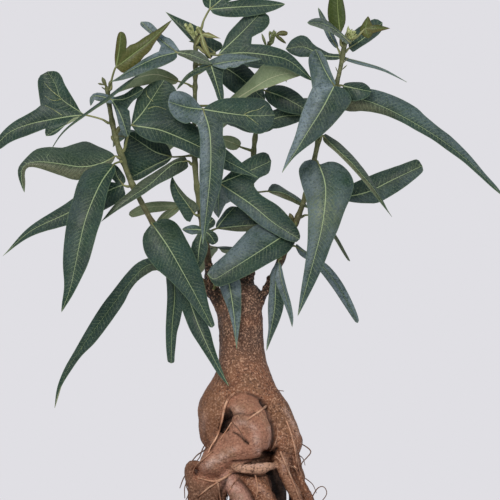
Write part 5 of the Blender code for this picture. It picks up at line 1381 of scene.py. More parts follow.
# %% Leaves on the right stem
RIGHT_LEAVES = [
    leaf(1, (36.5, -6, 372), (35, -12, 366),
        lobe(17.0, (0.32, 0.8), (24, -17, 359.5, 0, -27, 344, -16, -31, 334, -28, -31, 327,
          -34, -30, 331), before=(37, 359, 30, 348, 16, 340, 0, 331, -15, 324, -25, 321, -29, 323),
          after=(30, 372, 18, 374, 5, 370, -3, 364, -10, 356.5, -20, 346, -30, 337.5),
          painted_sheen=(0.1, 0.7))),
    leaf(2, (50.5, -10, 419), (54, -20, 420),
        lobe(21.0, HEART, (59, -28, 406, 60, -33, 392, 57, -38, 368, 50, -41, 340, 41, -40, 308,
          37.8, -40, 297.5), before=(56, 418, 61, 420, 68, 420, 75, 416, 80.6, 409, 82.5, 401,
          79.5, 391, 75, 381, 70, 367, 65, 356, 60, 342.5, 54, 329, 46, 313), after=(52, 421, 46, 422,
          41, 418, 39, 412.5, 41, 402.5, 44, 392.5, 46, 381, 46, 369, 45.4, 352.5, 43, 334, 40, 315),
          face=(-0.05, -1.0, 0.25), painted_sheen=(0.38, 0.62)),
        via=(52, -15, 421), sallow=(58, 380)),
    leaf(3, (44.5, -7.5, 394), (70, 1, 391.5),
        lobe(9.5, STRAP, (93, 3, 396, 115, 5, 406.5, 138, 6, 417.5), before=(74, 398, 82, 403,
          100, 411, 120, 418, 132, 422.4, 135, 422, 137, 419.5), after=(80, 388.6, 93, 387.4,
          104, 388.5, 120, 397.8, 131, 406, 138.2, 412.4, 138.4, 415), painted_sheen=(0.15, 0.3), rib=1.2),
        via=(56, -1, 391)),
    leaf(4, (54.5, -12, 437), (58, -18, 441),
        lobe(6.5, STRAP, (69, -21, 430, 80, -23, 420, 90, -24, 408.5, 99, -25, 397.5, 113, -25, 376),
          before=(60, 442.5, 71, 435.5, 81, 425.8, 90, 415.2, 97.6, 404, 104, 392.6, 109.4, 381.6),
          after=(59, 436, 69, 427, 79.5, 416.4, 89.3, 405.5, 98, 394.5, 105.6, 385),
          face=(0.3, -0.7, 0.5), painted_sheen=(0.35, 0.0), bronze=(0.4, 1.0), bronze_reach=0.9, rib=0.6)),
    leaf(5, (68.5, -16, 482), (74, -11, 481),
        lobe(7.0, ROUND, (85, -14, 478.5, 96.5, -15, 476), before=(76, 483, 82.5, 484, 90, 483.5,
          95, 480), after=(79, 470, 84, 468.5, 91, 470.6, 95, 473), face=(0.2, -0.9, 0.6)),
        lobe(11.0, LONG, (86, -9, 471.5, 98, -8, 467.5, 114, -9, 460.5, 140, -11, 446, 165, -12, 428.5,
          186, -11, 409, 203, -9, 392), before=(79, 470, 88, 478.5, 97.5, 478.5, 107.5, 476, 120, 471,
          132.5, 464, 140, 457, 150, 448.5, 161, 440, 175, 426, 187.5, 411, 197, 400.5),
          after=(74, 470, 75, 462, 82, 460.5, 90, 461, 105, 458.5, 120, 452.5, 132.5, 445.5,
          145, 438.5, 157.5, 429.5, 170, 420.5, 182.5, 409.5, 193, 400), painted_sheen=(0.45, 0.15),
          bronze=(0.0, 1.0), bronze_reach=0.38, rib=0.5),
        web=12),
    leaf(6, (68, -16, 480), (67, -26, 480.5),
        lobe(15.0, HEART, (57, -32, 461.5, 46, -38, 444, 36, -42, 427.5, 25.3, -43, 411),
          before=(75, 478, 80.5, 469.5, 75.5, 461, 69, 453, 62.5, 446, 54, 438.5, 39, 427, 32, 420),
          after=(49.5, 479, 46, 471, 40.6, 457.5, 36, 441, 30, 425), painted_sheen=(0.2, 1.0)),
        lobe(9.0, SPOON, (60, -27, 492, 52, -27, 509.5), before=(49.5, 479, 48, 490, 46.6, 500,
          48, 506), after=(68, 483, 64, 492.5, 60.5, 502, 56.5, 508), face=LEFT_UP, painted_sheen=(0.8, 0.6)),
        web=16),
    leaf(7, (73.5, -16, 503), (72, -9, 504),
        lobe(8.5, SPOON, (57, -2, 506, 43, 3, 512.5, 28.5, 5, 511), before=(70, 502, 61, 502,
          47, 504.5, 40, 504.5, 33, 507), after=(71, 506.5, 64, 507, 57.5, 510.5, 51, 514.5, 46, 520.5,
          40, 522, 33, 518), painted_sheen=(0.3, 0.2)),
        lobe(3.4, LONG, (90, -8, 499.5, 107, -9, 494, 125, -10, 484), face=(0.3, -0.5, 1.0),
          painted_sheen=(0.9, 0.9)),
        web=4),
    leaf(8, (75.5, -16, 513), (72, -18.5, 522),
        lobe(7.0, BLADE, (70, -19, 540, 69, -19, 567), before=(69, 523, 64, 529, 62, 537, 62.5, 546,
          65, 557), after=(73.5, 525, 76, 532, 75.5, 542, 72.5, 555)),
        young=True),
    leaf(9, (75.8, -16, 516), (80, -23, 514.8),
        lobe(5.0, BLADE, (72, -25, 521.6, 65, -28, 526.5, 56, -29, 530.2, 45.5, -30, 530.5),
          before=(77, 513.7, 71, 518.3, 62.6, 523.3, 53, 527, 47.5, 528.6), after=(81.5, 515,
          76.5, 519, 71.5, 524, 64, 530.5, 56.6, 534.4, 49, 533.3), face=(-0.2, -0.7, 0.7),
          painted_sheen=(0.9, 0.9), bronze=(0.45, 0.35), rib=0.7)),
    leaf(10, (74, -16, 506), (70, -8, 511),
        lobe(3.0, BLADE, (65, -3, 520, 60, -1, 531, 54.5, 0, 544), painted_sheen=(0.9, 0.9))),
    leaf(11, (74.5, -16, 508), (79, -9, 511),
        lobe(8.5, SPOON, (90, -4, 518.5, 106, 1, 532), before=(79, 516, 83, 525, 95, 533, 101, 535),
          after=(82, 508, 87.5, 511.5, 97.5, 518, 105, 525))),
    leaf(12, (76.5, -16, 519), (92, -21, 526),
        lobe(2.6, BLADE, (92.6, -21, 530, 94, -21, 536), before=(87.5, 524, 88.5, 528, 91.5, 533),
          after=(97.5, 528.8, 96, 531.5, 95.3, 534), bronze=(0.3, 0.4), rib=0.6),
        lobe(2.8, BLADE, (100, -22, 526.5, 111.5, -22, 526.3), before=(97.5, 528.8, 101, 529.2,
          106, 528), after=(97.5, 522.4, 101, 523.4, 107, 525), bronze=(0.2, 0.7), rib=0.6),
        lobe(2.6, BLADE, (93, -22, 522, 94.5, -22, 518.5), before=(97.5, 522.4, 96.4, 520),
          after=(88, 523.2, 90, 520.6, 93, 518.8), bronze=(0.4, 0.4), rib=0.6),
        via=(84, -22, 518.5), web=4, young=True),
    leaf(13, (25, -5, 343), (23, -13, 342),
        lobe(5.5, LONG, (25, -18, 326, 30.5, -21, 307, 33.6, -21, 288.5), before=(25, 337, 27, 328,
          29.3, 319, 32.6, 307.5, 34.4, 296), after=(19.5, 326.5, 25, 312.5, 30, 300),
          painted_sheen=(0.75, 0.9), rib=0.35),
        lobe(7.0, LONG, (20.5, -15, 325, 19.5, -15, 302, 13.2, -14, 269.5), before=(19.5, 326.5,
          25, 316, 27, 307, 23.8, 294.5, 18, 281), after=(17, 333, 16, 322.5, 14.4, 306, 14.8, 288,
          13.5, 277), painted_sheen=(0.2, 0.75), rib=0.8),
        web=9),
    leaf(14, (30, -5.5, 355), (36, 0, 353),
        lobe(5.5, STRAP, (50, 4, 344.5, 64, 7, 330, 76, 9, 312, 86.5, 10, 291.5), before=(37, 355,
          44, 349.5, 59, 340.5, 67.5, 332.5, 75.5, 321, 83, 306, 87, 295), after=(40, 346, 48, 340.5,
          56, 333, 66, 320, 75, 306.5, 84, 293), painted_sheen=(0.9, 0.9), rib=0.35)),
    leaf(15, (38.5, -6.5, 377), (52, 5, 376),
        lobe(2.8, STRAP, (66, 10, 365, 80.2, 12, 341), face=(0.8, -0.5, 0.4), bronze=(0.8, 0.8),
          rib=0.5),
        via=(45, 0, 378)),
    leaf(16, (60.5, -14.5, 462), (62, 6, 464),
        lobe(11.0, LONG, (53, 27, 470, 40, 50, 472, 30, 76, 461), face=(-0.2, 0.1, 1.0)),
        lobe(9.0, LONG, (68, 30, 470, 68, 58, 471, 64, 86, 460), face=(0.1, 0.1, 1.0)),
        via=(61, -6, 463), web=14),
    leaf(17, (47.5, -9, 405), (52, 8, 406),
        lobe(13.0, LONG, (58, 32, 402, 62, 62, 390, 64, 90, 370), face=(0.2, 0.4, 1.0)),
        via=(49, 0, 406)),
]
print("right stem:", len(RIGHT_LEAVES), "leaves")

# %% All leaves
LEAVES = []
for stem, specs in (("left", LEFT_LEAVES), ("centre", CENTRE_LEAVES), ("back", BACK_LEAVES),
                    ("right", RIGHT_LEAVES)):
    for spec in specs:
        spec["name"] = f"leaf_{stem}_{spec['number']:02d}"
        spec["carrier"] = spec["carrier"] or f"stem_{stem}"
        LEAVES.append(spec)
print("leaves:", len(LEAVES), "lobes:", sum(len(spec["lobes"]) for spec in LEAVES))

# %% [markdown]
# ## Leaf skins
#
# The upper face is dark blue green with a satin sheen. Its midrib, the fine veins that
# leave it at a steep angle, and a hairline along the edge are pale yellow green, and on
# parts of it a blue grey sheen is painted into the colour as a painted reflection. The
# lower face is matt and olive. The veins are drawn from two maps on each blade: `ribs`
# holds the distance from the midrib and along it, and `rims` the distance from the edge
# and the midrib's half width, all in millimetres. Young leaves take the same veins over a
# yellower green.

# %% Veins
VEIN_SPACING = 3.6
VEIN_RISE = 0.62


def veins_group():
    """Masks of the midrib, the side veins and the rim, and the quilted height between veins."""
    nodes, given, result = new_group(
        "veins", {"Vector": None, "Ribs": None, "Rims": None}, ["Midrib", "Veins", "Rim", "Height"])
    math, times, ramp = nodes.math, nodes.times, nodes.ramp
    ribs, rims = nodes.axes(given["Ribs"]), nodes.axes(given["Rims"])
    across = math("ABSOLUTE", ribs["X"])
    side = times(math("GREATER_THAN", ribs["X"]), 0.45)
    sway = nodes.cloud(70.0, 4.0)["Fac"]
    bend = times(times(across, across), 0.02)
    phase = math("SUBTRACT", ribs["Y"], math("ADD", times(across, VEIN_RISE), bend))
    phase = math("ADD", math("DIVIDE", phase, VEIN_SPACING), side)
    phase = math("ADD", phase, times(sway, 1.5))
    turn = math("ABSOLUTE", math("SUBTRACT", math("FRACT", phase), 0.5))
    midrib = ramp(math("DIVIDE", across, rims["Y"]), 0.6, 1.1, 1.0, 0.0)
    strength = times(ramp(across, 0.5, 14.0, 1.0, 0.35), ramp(rims["X"], 0.4, 3.0, 0.2, 1.0))
    strength = times(strength, ramp(sway, 0.35, 0.6, 0.35, 1.0))
    side_veins = times(ramp(turn, 0.0, 0.085, 1.0, 0.0), strength)
    to_edge = node(nodes.tree, "ShaderNodeTexVoronoi", {
        "Vector": nodes.shaken(260.0, 0.0016), "Scale": 430.0,
    }, feature="DISTANCE_TO_EDGE").outputs["Distance"]
    net = times(ramp(to_edge, 0.0, 0.09, 1.0, 0.0), 0.2)
    height = math("ADD", times(ramp(turn, 0.0, 0.3), strength), times(midrib, -0.8))
    height = math("ADD", height, times(ramp(to_edge, 0.0, 0.3), 0.35))
    for label, value in (("Midrib", midrib), ("Veins", math("MAXIMUM", side_veins, net)),
                         ("Rim", ramp(rims["X"], 0.3, 0.75, 1.0, 0.0)), ("Height", height)):
        nodes.tree.links.new(value, result[label])
    return nodes.tree


VEINS = veins_group()
print("veins group:", len(VEINS.nodes), "nodes")


# %% Blade materials
def blade_skin(name, roughness, greens, vein, painted_sheen, bronze, rim, vein_strength, painted_sheen_strength):
    """One face of a leaf blade: mottled green, veins over it, a painted blue grey sheen and a rim."""
    dark, light, olive = greens
    skin = Skin(name, roughness, Specular_IOR_Level=0.26)
    ribs, rims = (node(skin.tree, "ShaderNodeUVMap", uv_map=uv_map).outputs["UV"]
                  for uv_map in ("ribs", "rims"))
    veins = node(skin.tree, "ShaderNodeGroup", {
        "Vector": skin.place, "Ribs": ribs, "Rims": rims}, node_tree=VEINS).outputs
    skin.ground(skin.patches(38.0, 0.36, 0.66), dark, light)
    skin.lay(skin.patches(16.0, 0.52, 0.7), 0.4, olive)
    # Painted sheen: a blue grey reflection painted into the colour
    skin.lay(skin.times(skin.mask("painted_sheen"), skin.patches(55.0, 0.16, 0.62)), painted_sheen_strength, painted_sheen)
    skin.lay(skin.mask("bronze"), 0.9, bronze)
    skin.lay(skin.patches(760.0, 0.52, 0.66), 0.16, vein)
    skin.lay(skin.patches(620.0, 0.48, 0.64), 0.55, dark)
    skin.lay(skin.times(skin.mask("sallow"), skin.patches(620.0, 0.4, 0.62)), 0.5, (134, 146, 108))
    skin.lay(veins["Veins"], vein_strength, vein)
    skin.lay(veins["Midrib"], 0.85, vein)
    skin.lay(veins["Rim"], 0.5, rim)
    skin.colour()
    skin.roughness(skin.patches(75.0, 0.3, 0.7), roughness - 0.07, roughness + 0.08)
    skin.bump(veins["Height"], 0.16, 0.5)
    print(name, len(skin.tree.nodes), "nodes")
    return skin.material


# The fifth colour and the last number are the painted blue grey sheen, a painted reflection, and its
# strength
leaf_top = blade_skin(
    "leaf_upper_skin", 0.47, ((7, 36, 23), (17, 52, 34), (38, 60, 26)), (156, 172, 128),
    (124, 138, 148), (92, 92, 68), (96, 116, 86), 0.36, 0.82)
leaf_under = blade_skin(
    "leaf_lower_skin", 0.66, ((108, 124, 90), (130, 144, 110), (138, 128, 100)), (182, 184, 150),
    (140, 142, 128), (120, 112, 88), (150, 150, 118), 0.4, 0.4)
young_top = blade_skin(
    "young_upper_skin", 0.46, ((44, 60, 16), (62, 76, 22), (82, 74, 24)), (122, 136, 82),
    (112, 122, 84), (100, 88, 46), (72, 50, 36), 0.3, 0.4)
young_under = blade_skin(
    "young_lower_skin", 0.62, ((72, 76, 36), (88, 92, 46), (100, 94, 52)), (140, 140, 92),
    (130, 134, 100), (122, 92, 54), (96, 70, 50), 0.4, 0.3)
tip_top = blade_skin(
    "shoot_tip_skin", 0.5, ((84, 92, 48), (124, 128, 80), (122, 106, 66)), (160, 164, 120),
    (150, 150, 110), (124, 96, 60), (104, 80, 56), 0.3, 0.3)

# %% Stalk material
stalk = Skin("stalk_skin", 0.55, Specular_IOR_Level=0.35)
stalk.ground(stalk.patches(70.0, 0.35, 0.65), (104, 108, 66), (146, 146, 100))
stalk.lay(stalk.specks(900.0, 0.6), 0.5, (84, 76, 50))
stalk.colour()
stalk.roughness(stalk.patches(300.0, 0.3, 0.7), 0.48, 0.66)
print("stalk:", len(stalk.tree.nodes), "nodes")

# %% [markdown]
# ## Leaf blades
#
# A blade is a thin, slightly arched sheet on each side of its midrib, folded like a low
# roof. Rows run along the midrib and columns out to the edge. Two lobes share one line of
# points from their joint to the notch, which makes the web between them. The sheet is
# thickened at the end. A sheet that follows its own bent midrib has no primitive to start
# from, so its grid is laid out by formula, and every point gets its place in the two maps.

# %% The frame of a lobe
WEB_ROWS = 8
ROW_STEP = 2.6
EVEN_SHARE = 0.45  # how far the rows keep an even step; the rest draws them to the ends


def width_share(share, outline):
    """A lobe's width at a share of its length, as a share of its widest."""
    rise, fall = outline
    peak = rise / (rise + fall)
    share = np.clip(share, 0.0, 1.0)
    return (share / peak) ** rise * ((1 - share) / (1 - peak)) ** fall


def web_length(web, notches, length, curve):
    """How far along its midrib a lobe is joined to its neighbours."""
    found = []
    for notch in notches:
        if notch is not None:
            gaps = np.linalg.norm(curve[0][:, [0, 2]] - np.array(notch, float), axis=1)
            found.append(curve[1][int(np.argmin(gaps))])
    reach = float(np.mean(found)) if found else min(web, 0.6 * length)
    return float(np.clip(reach, 3.0, 0.7 * length))


def lobe_frame(part, joint, web, notches, alone):
    """The midrib of a lobe with its side direction, face direction and half width per row."""
    curve = smooth_curve([joint, *part["points"]])
    length = curve[1][-1]
    web = 0.0 if alone else web_length(web, notches, length, curve)
    rows = np.linspace(0.0, 1.0, max(9, int((length - web) / ROW_STEP)) + 1)
    if alone:
        rows = EVEN_SHARE * rows + (1 - EVEN_SHARE) * (3 * rows**2 - 2 * rows**3)
        distances = length * rows
    else:
        rows = EVEN_SHARE * rows + (1 - EVEN_SHARE) * (1 - (1 - rows) ** 2)
        near = web * np.arange(WEB_ROWS) / WEB_ROWS
        distances = np.concatenate([near, web + (length - web) * rows])
    middle = points_along(curve, distances)
    ahead = points_along(curve, np.clip(distances + 1.0, 0.0, length))
    behind = points_along(curve, np.clip(distances - 1.0, 0.0, length))
    share = (distances / length)[:, None]
    turns = np.array([unit(face) for face in part["faces"]])
    stations = np.linspace(0.0, 1.0, len(turns))
    face = np.stack([np.interp(share[:, 0], stations, turns[:, k]) for k in range(3)], axis=1)
    along = ahead - behind
    along /= np.linalg.norm(along, axis=1)[:, None]
    side = np.cross(along, face)
    side /= np.linalg.norm(side, axis=1)[:, None]
    return {
        "middle": middle, "along": along, "side": side, "normal": np.cross(side, along),
        "half": part["half_width"] * width_share(distances / length, part["outline"]),
        "distances": distances, "web": web, "length": length,
    }


trial = lobe_frame(LEAVES[0]["lobes"][1], LEAVES[0]["joint"], LEAVES[0]["web"], [], False)
print("the longest lobe of the first leaf:", len(trial["distances"]), "rows,",
      round(float(trial["length"]), 1), "mm")


# %% Edges through typed points
ANY_WAY = 0.22  # how much a stretch of edge counts that runs across the midrib
STEEPEST = 0.3
REACH_FADE = 0.4  # how fast the width at the notch gives way to the lobe's own, in webs
STEP_FADE = 3.0  # and a step in depth at the notch, in rows


def along_outline(middle, start, outline):
    """Points on an outline in the picture's plane, one for each midrib row, base to tip."""
    spine = middle[:, [0, 2]]
    line = flat_curve([start, *outline, tuple(spine[-1])])[0][:, [0, 2]]
    ways = np.gradient(spine, axis=0)
    ways /= np.maximum(np.linalg.norm(ways, axis=1)[:, None], 1e-6)
    steps = np.diff(line, axis=0)
    centres = (line[:-1] + line[1:]) / 2
    nearest = np.argmin(np.linalg.norm(centres[:, None] - spine[None], axis=2), axis=1)
    gained = np.maximum((steps * ways[nearest]).sum(axis=1), 0.0)
    gained += ANY_WAY * np.linalg.norm(steps, axis=1)
    progress = np.concatenate([[0.0], np.cumsum(gained)])
    run = np.concatenate([[0.0], np.cumsum(np.linalg.norm(np.diff(spine, axis=0), axis=1))])
    wanted = run / run[-1] * progress[-1]
    return np.stack([np.interp(wanted, progress, line[:, k]) for k in range(2)], axis=1)


def lifted(frame, first, rim, sign, lean):
    """Picture-plane points as points on the half of the blade that they belong to."""
    middle, along = frame["middle"][first:], frame["along"][first:]
    out = sign * frame["side"][first:] * math.cos(lean) + frame["normal"][first:] * math.sin(lean)
    gap = rim - middle[:, [0, 2]]
    cross = along[:, 0] * out[:, 2] - along[:, 2] * out[:, 0]
    cross = np.where(np.abs(cross) < STEEPEST, np.copysign(STEEPEST, cross), cross)
    ahead = (gap[:, 0] * out[:, 2] - gap[:, 1] * out[:, 0]) / cross
    aside = (along[:, 0] * gap[:, 1] - along[:, 2] * gap[:, 0]) / cross
    depth = middle[:, 1] + ahead * along[:, 1] + aside * out[:, 1]
    return np.column_stack([rim[:, 0], depth, rim[:, 1]])


def edge_points(frame, sign, part, shared):
    """The rim on one side. Up to the notch it is the line that two lobes share."""
    lean = math.radians(ROOF)
    outline = part["edges"][0 if sign < 0 else 1]
    first = WEB_ROWS if shared is not None else 0
    half = frame["half"].copy()
    if shared is not None:
        reach = np.linalg.norm(shared[-1] - frame["middle"][WEB_ROWS])
        beyond = np.maximum(frame["distances"] - frame["web"], 0.0)
        fade = np.exp(-beyond / (REACH_FADE * frame["web"]))
        half += (reach - half[WEB_ROWS]) * fade * (half > 0)
    rim = frame["middle"] + sign * frame["side"] * (half * math.cos(lean))[:, None]
    rim += frame["normal"] * (half * math.sin(lean))[:, None]
    if outline:
        start = tuple(shared[-1][[0, 2]]) if shared is not None else tuple(frame["middle"][0][[0, 2]])
        rest = outline[1:] if shared is not None else outline
        traced = lifted(frame, first, along_outline(frame["middle"][first:], start, rest), sign, lean)
        if shared is not None:
            step = traced[0, 1] - shared[-1][1]
            traced[:, 1] -= step * np.exp(-np.arange(len(traced)) / STEP_FADE)
        rim[first:] = traced
    if shared is not None:
        rim[: WEB_ROWS + 1] = shared
    rim[-1] = frame["middle"][-1]
    return rim


def shared_line(one, other, notch):
    """The line that two neighbouring lobes share, from the joint to the notch."""
    share = (np.arange(WEB_ROWS + 1) / WEB_ROWS)[:, None]
    line = (one["middle"][: WEB_ROWS + 1] + other["middle"][: WEB_ROWS + 1]) / 2
    if notch is None:
        return line
    end = np.array([notch[0], line[-1, 1], notch[1]])
    return line[0] + share * (end - line[0])


print("shared rows up to a notch:", WEB_ROWS)


# %% Half a lobe
COLUMNS = np.array([0.0, 0.13, 0.36, 0.6, 0.83, 1.0])
ARCH = 0.11
WAVE = 0.55
WAVE_LENGTH = 11
CRIMP_LENGTH = 4.5
THIN_RIB, THICK_RIB = 0.17, 0.5  # half the width of a midrib at the tip and at the base


def add_strip(grid, frame, part, sign, rim, shared, seed):
    """One half of a lobe: rows along the midrib, columns out to the rim, with its maps."""
    middle, normal, distances = frame["middle"], frame["normal"], frame["distances"]
    tint = 0 if sign < 0 else 1
    rows = len(middle)
    out = rim - middle
    width = np.linalg.norm(out, axis=1)
    rise = (out * frame["along"]).sum(axis=1)
    aside = np.sqrt(np.maximum(width**2 - rise**2, 0.0))
    ripple = np.array([
        noise.noise(Vector((d / WAVE_LENGTH, seed, sign)))
        + 0.5 * noise.noise(Vector((d / CRIMP_LENGTH, seed, 9))) for d in distances])
    free = np.clip(np.arange(rows) - (WEB_ROWS - 2 if shared else 0), 0, 5) / 5
    ripple *= WAVE * free * np.clip(width / 8, 0.0, 1.0)
    open_edge = np.zeros(rows)
    if shared:
        open_edge = np.maximum(frame["web"] - distances, 0.0)
    share_along = distances / frame["length"]
    rib = part["rib"] * np.clip(THICK_RIB * (1.15 - share_along), THIN_RIB, THICK_RIB)
    first = len(grid["places"])
    for row in range(rows):
        for share in COLUMNS:
            arch = ARCH * (0.25 + 0.75 * free[row]) * width[row] * 4 * share * (1 - share)
            place = middle[row] + share * out[row] + normal[row] * (arch + ripple[row] * share**2)
            grid["places"].append(place)
            grid["ribs"].append((sign * share * aside[row], distances[row] + share * rise[row]))
            grid["rims"].append(((1 - share) * width[row] + open_edge[row], rib[row]))
            outer = 0.25 + 0.75 * min(1.0, 2.2 * share)
            # The painted sheen is stronger away from the midrib
            grid["painted_sheen"].append(part["painted_sheen"][tint] * outer)
            fade = min(1.0, max(0.0, 4 * (part["bronze_reach"] - share_along[row])))
            grid["bronze"].append(part["bronze"][tint] * outer * fade)
    wide = len(COLUMNS)
    for row in range(rows - 1):
        for column in range(wide - 1):
            a = first + row * wide + column
            quad = (a, a + 1, a + 1 + wide, a + wide)
            grid["faces"].append(quad if sign > 0 else quad[::-1])


print("columns from the midrib to the edge:", len(COLUMNS))


# %% A whole blade
BLADE_THICKNESS = 0.45
SALLOW_RADIUS = 14.0


def blade(spec, seed, top, under):
    """The whole blade of a leaf as one thick sheet with its maps and materials."""
    lobes = spec["lobes"]
    alone = len(lobes) == 1
    notches = []
    for one, other in zip(lobes, lobes[1:]):
        edge = one["edges"][1] or other["edges"][0]
        notches.append(edge[0] if edge else None)
    frames = []
    for k, part in enumerate(lobes):
        beside = ([notches[k - 1]] if k > 0 else []) + ([notches[k]] if k < len(notches) else [])
        frames.append(lobe_frame(part, spec["joint"], spec["web"], beside, alone))
    lines = [shared_line(a, b, notch) for a, b, notch in zip(frames, frames[1:], notches)]
    grid = {"places": [], "ribs": [], "rims": [], "painted_sheen": [], "bronze": [], "faces": []}
    for k, (part, frame) in enumerate(zip(lobes, frames)):
        before = lines[k - 1] if k > 0 else None
        after = lines[k] if k < len(lines) else None
        for sign, shared in ((-1, before), (1, after)):
            rim = edge_points(frame, sign, part, shared)
            add_strip(grid, frame, part, sign, rim, shared is not None, seed + 3 * k)
    mesh = bpy.data.meshes.new("blade")
    mesh.from_pydata([place * MM for place in grid["places"]], [], grid["faces"])
    corners = np.empty(len(mesh.loops), dtype=np.int32)
    mesh.loops.foreach_get("vertex_index", corners)
    for name in ("ribs", "rims"):
        layer = mesh.uv_layers.new(name=name)
        layer.data.foreach_set("uv", np.array(grid[name], np.float32)[corners].ravel())
    piece = new_piece("blade", mesh)
    # The painted sheen of each point, for the material to read
    paint(piece, "painted_sheen", np.array(grid["painted_sheen"]))
    paint(piece, "bronze", np.array(grid["bronze"]))
    if spec["sallow"]:
        gaps = np.linalg.norm(vertex_array(piece)[:, [0, 2]] - np.array(spec["sallow"], float), axis=1)
        paint(piece, "sallow", np.exp(-(gaps / SALLOW_RADIUS) ** 2))
    weld(piece, 0.02)
    for material in (top, under, stalk.material):
        piece.data.materials.append(material)
    apply_modifier(piece, "SOLIDIFY", thickness=BLADE_THICKNESS * MM, offset=0.0,
                   material_offset=1, material_offset_rim=0)
    bpy.ops.object.shade_smooth_by_angle(angle=math.radians(50))
    return piece


print("blade thickness:", BLADE_THICKNESS, "mm")

# %% [markdown]
# ## Stems and buds
#
# A young stem is green where it is new and brown below, thickens a little at each leaf and
# carries small pointed buds. It is a tube whose radius is set point by point, and it starts
# inside its branch end. Pulling it out of the trunk's own mesh would make one piece of
# two, and the plant's stems have a skin of their own. Buds are short tubes that swell and
# come to a point.

# %% Stem lines
STEMS = {
    "stem_left": [
        (-36, -4, 322, 3.4), (-48, -8, 333, 3.0), (-62, -11, 350, 2.5), (-77, -14, 371, 2.3),
        (-86, -16, 387, 2.2), (-95, -19, 405, 2.2), (-102, -21, 424, 2.2), (-107, -22, 440, 2.1),
        (-110, -23, 454, 1.9), (-112.5, -24, 470, 1.8), (-113.5, -25, 480, 1.6),
    ],
    "stem_centre": [
        (-33.5, 2, 340, 3.0), (-35, 0, 352, 2.7), (-38, -2, 370, 2.5), (-41, -5, 390, 2.2),
        (-43.5, -7, 412, 2.1), (-44.5, -8, 440, 1.9), (-44, -9, 470, 1.7), (-43.5, -10, 500, 1.6),
        (-43, -10, 518, 1.5), (-41, -10, 528, 1.3),
    ],
    "stem_back": [
        (-1.5, 10, 340, 3.8), (-1, 14, 356, 3.0), (0, 18, 378, 2.3), (1.5, 22, 405, 2.0),
        (3.2, 25, 432, 1.9), (6, 27, 455, 1.7), (9.5, 28, 482, 1.5), (13, 28, 505, 1.5),
        (15.5, 28, 518, 1.4),
    ],
    "stem_right": [
        (18, -4, 328, 3.2), (26, -5, 345, 2.8), (35, -6, 368, 2.3), (43, -7, 389, 2.1),
        (48, -9, 408, 2.0), (53, -11, 430, 2.0), (57, -13, 450, 1.9), (62.5, -15, 468, 1.8),
        (69, -16, 483, 1.8), (73, -16, 500, 1.7), (75.5, -16, 515, 1.6), (78, -16, 524, 1.2),
    ],
}
print("stems:", len(STEMS))

# %% Buds
# Each has a root on the stem's axis, a tip and a width
BUDS = {
    "stem_left": [
        ((-113.4, -25, 478), (-117.6, -26, 487.4), 1.7),
        ((-114.6, -25.5, 481), (-121, -26.5, 482.4), 0.9),
        ((-113, -24.5, 476), (-118.2, -26, 479.8), 0.55),
        ((-112.6, -25.5, 477), (-110.4, -27.5, 485), 1.5),
        ((-107, -22, 440), (-103.5, -24, 449), 2.0), ((-107, -22, 434), (-110.5, -24, 441), 1.3),
    ],
    "stem_centre": [
        ((-43, -10, 515.5), (-49, -12, 516.6), 0.55), ((-44, -9, 484), (-46, -12, 491), 0.4),
        ((-44.2, -9, 444), (-41.5, -12, 449), 1.1),
    ],
    "stem_back": [((9.5, 28, 482), (12.5, 26, 488), 1.0)],
    "stem_right": [
        ((71.5, -16, 492), (77.5, -18, 497.5), 0.5),
        ((72.5, -16, 497), (78.5, -18, 503.5), 0.5), ((71, -16, 489), (68, -18, 496), 0.45),
        ((35.6, -6, 369), (31.6, -8.5, 379.5), 2.2),
    ],
}
BUD_SHAPE = [(0.0, 0.6), (0.3, 0.55), (0.45, 0.8), (0.65, 1.0), (0.8, 0.85), (0.92, 0.45), (1.0, 0.1)]


def bud(root, tip, width):
    """A bud on a short foot: a tube that starts inside its stem, swells and comes to a point."""
    root, tip = np.array(root, float), np.array(tip, float)
    return tube([(*(root + share * (tip - root)), width * wide) for share, wide in BUD_SHAPE])


print("buds:", sum(len(buds) for buds in BUDS.values()))


# %% Stem tubes
NODE_SWELL = 0.55
NODE_LENGTH = 2.6
FOOT_DEPTH = 5.0


def stem_tube(name, points):
    """A stem that starts inside its branch end and swells where a leaf stalk leaves it."""
    start, after = np.array(points[0], float), np.array(points[1], float)
    foot = start.copy()
    foot[:3] -= FOOT_DEPTH * unit(after[:3] - start[:3])
    rings = evenly(smooth_curve([foot, *points]), 1.5)
    swell = np.zeros(len(rings))
    for spec in LEAVES:
        if spec["carrier"] == name:
            gap = np.linalg.norm(rings[:, :3] - np.array(spec["seat"], float), axis=1)
            swell = np.maximum(swell, np.exp(-((gap - gap.min()) / NODE_LENGTH) ** 2))
    rings[:, 3] += NODE_SWELL * swell
    for k, ring in enumerate(rings):
        ring[3] *= 1 + 0.08 * noise.noise(Vector((k / 2.5, len(name), 0.3)))
    return tube(rings, 3)


stem_skin = Skin("stem_skin_fine", 0.6, Specular_IOR_Level=0.35)
stem_skin.ground(stem_skin.patches(120.0, 0.35, 0.65), (72, 54, 40), (108, 84, 62))
stem_brown = stem_skin.laid
stem_skin.ground(stem_skin.patches(90.0, 0.35, 0.65), (76, 82, 51), (105, 107, 71))
aged = stem_skin.ramp(stem_skin.axes(stem_skin.place)["Z"], 0.335, 0.40)
stem_skin.laid = stem_skin.mix(aged, stem_brown, stem_skin.laid)
stem_skin.lay(stem_skin.specks(700.0, 0.6), 0.6, (74, 56, 40))
# Painted highlights: pale patches stand in for glints on the stem
stem_skin.lay(stem_skin.patches(260.0, 0.52, 0.7), 0.5, (150, 146, 110))
stem_skin.colour()
stem_skin.roughness(stem_skin.patches(200.0, 0.3, 0.7), 0.5, 0.7)
stem_skin.bump(stem_skin.patches(500.0, 0.3, 0.7, stem_skin.stretched(1.0, 1.0, 0.25)), 0.2, 0.5)

for name, points in STEMS.items():
    stem = join([stem_tube(name, points)] + [bud(*values) for values in BUDS[name]], name + "_skin")
    settle(stem, name, "stem_skin", stem_skin.material)
    print(name, count(stem), "triangles")

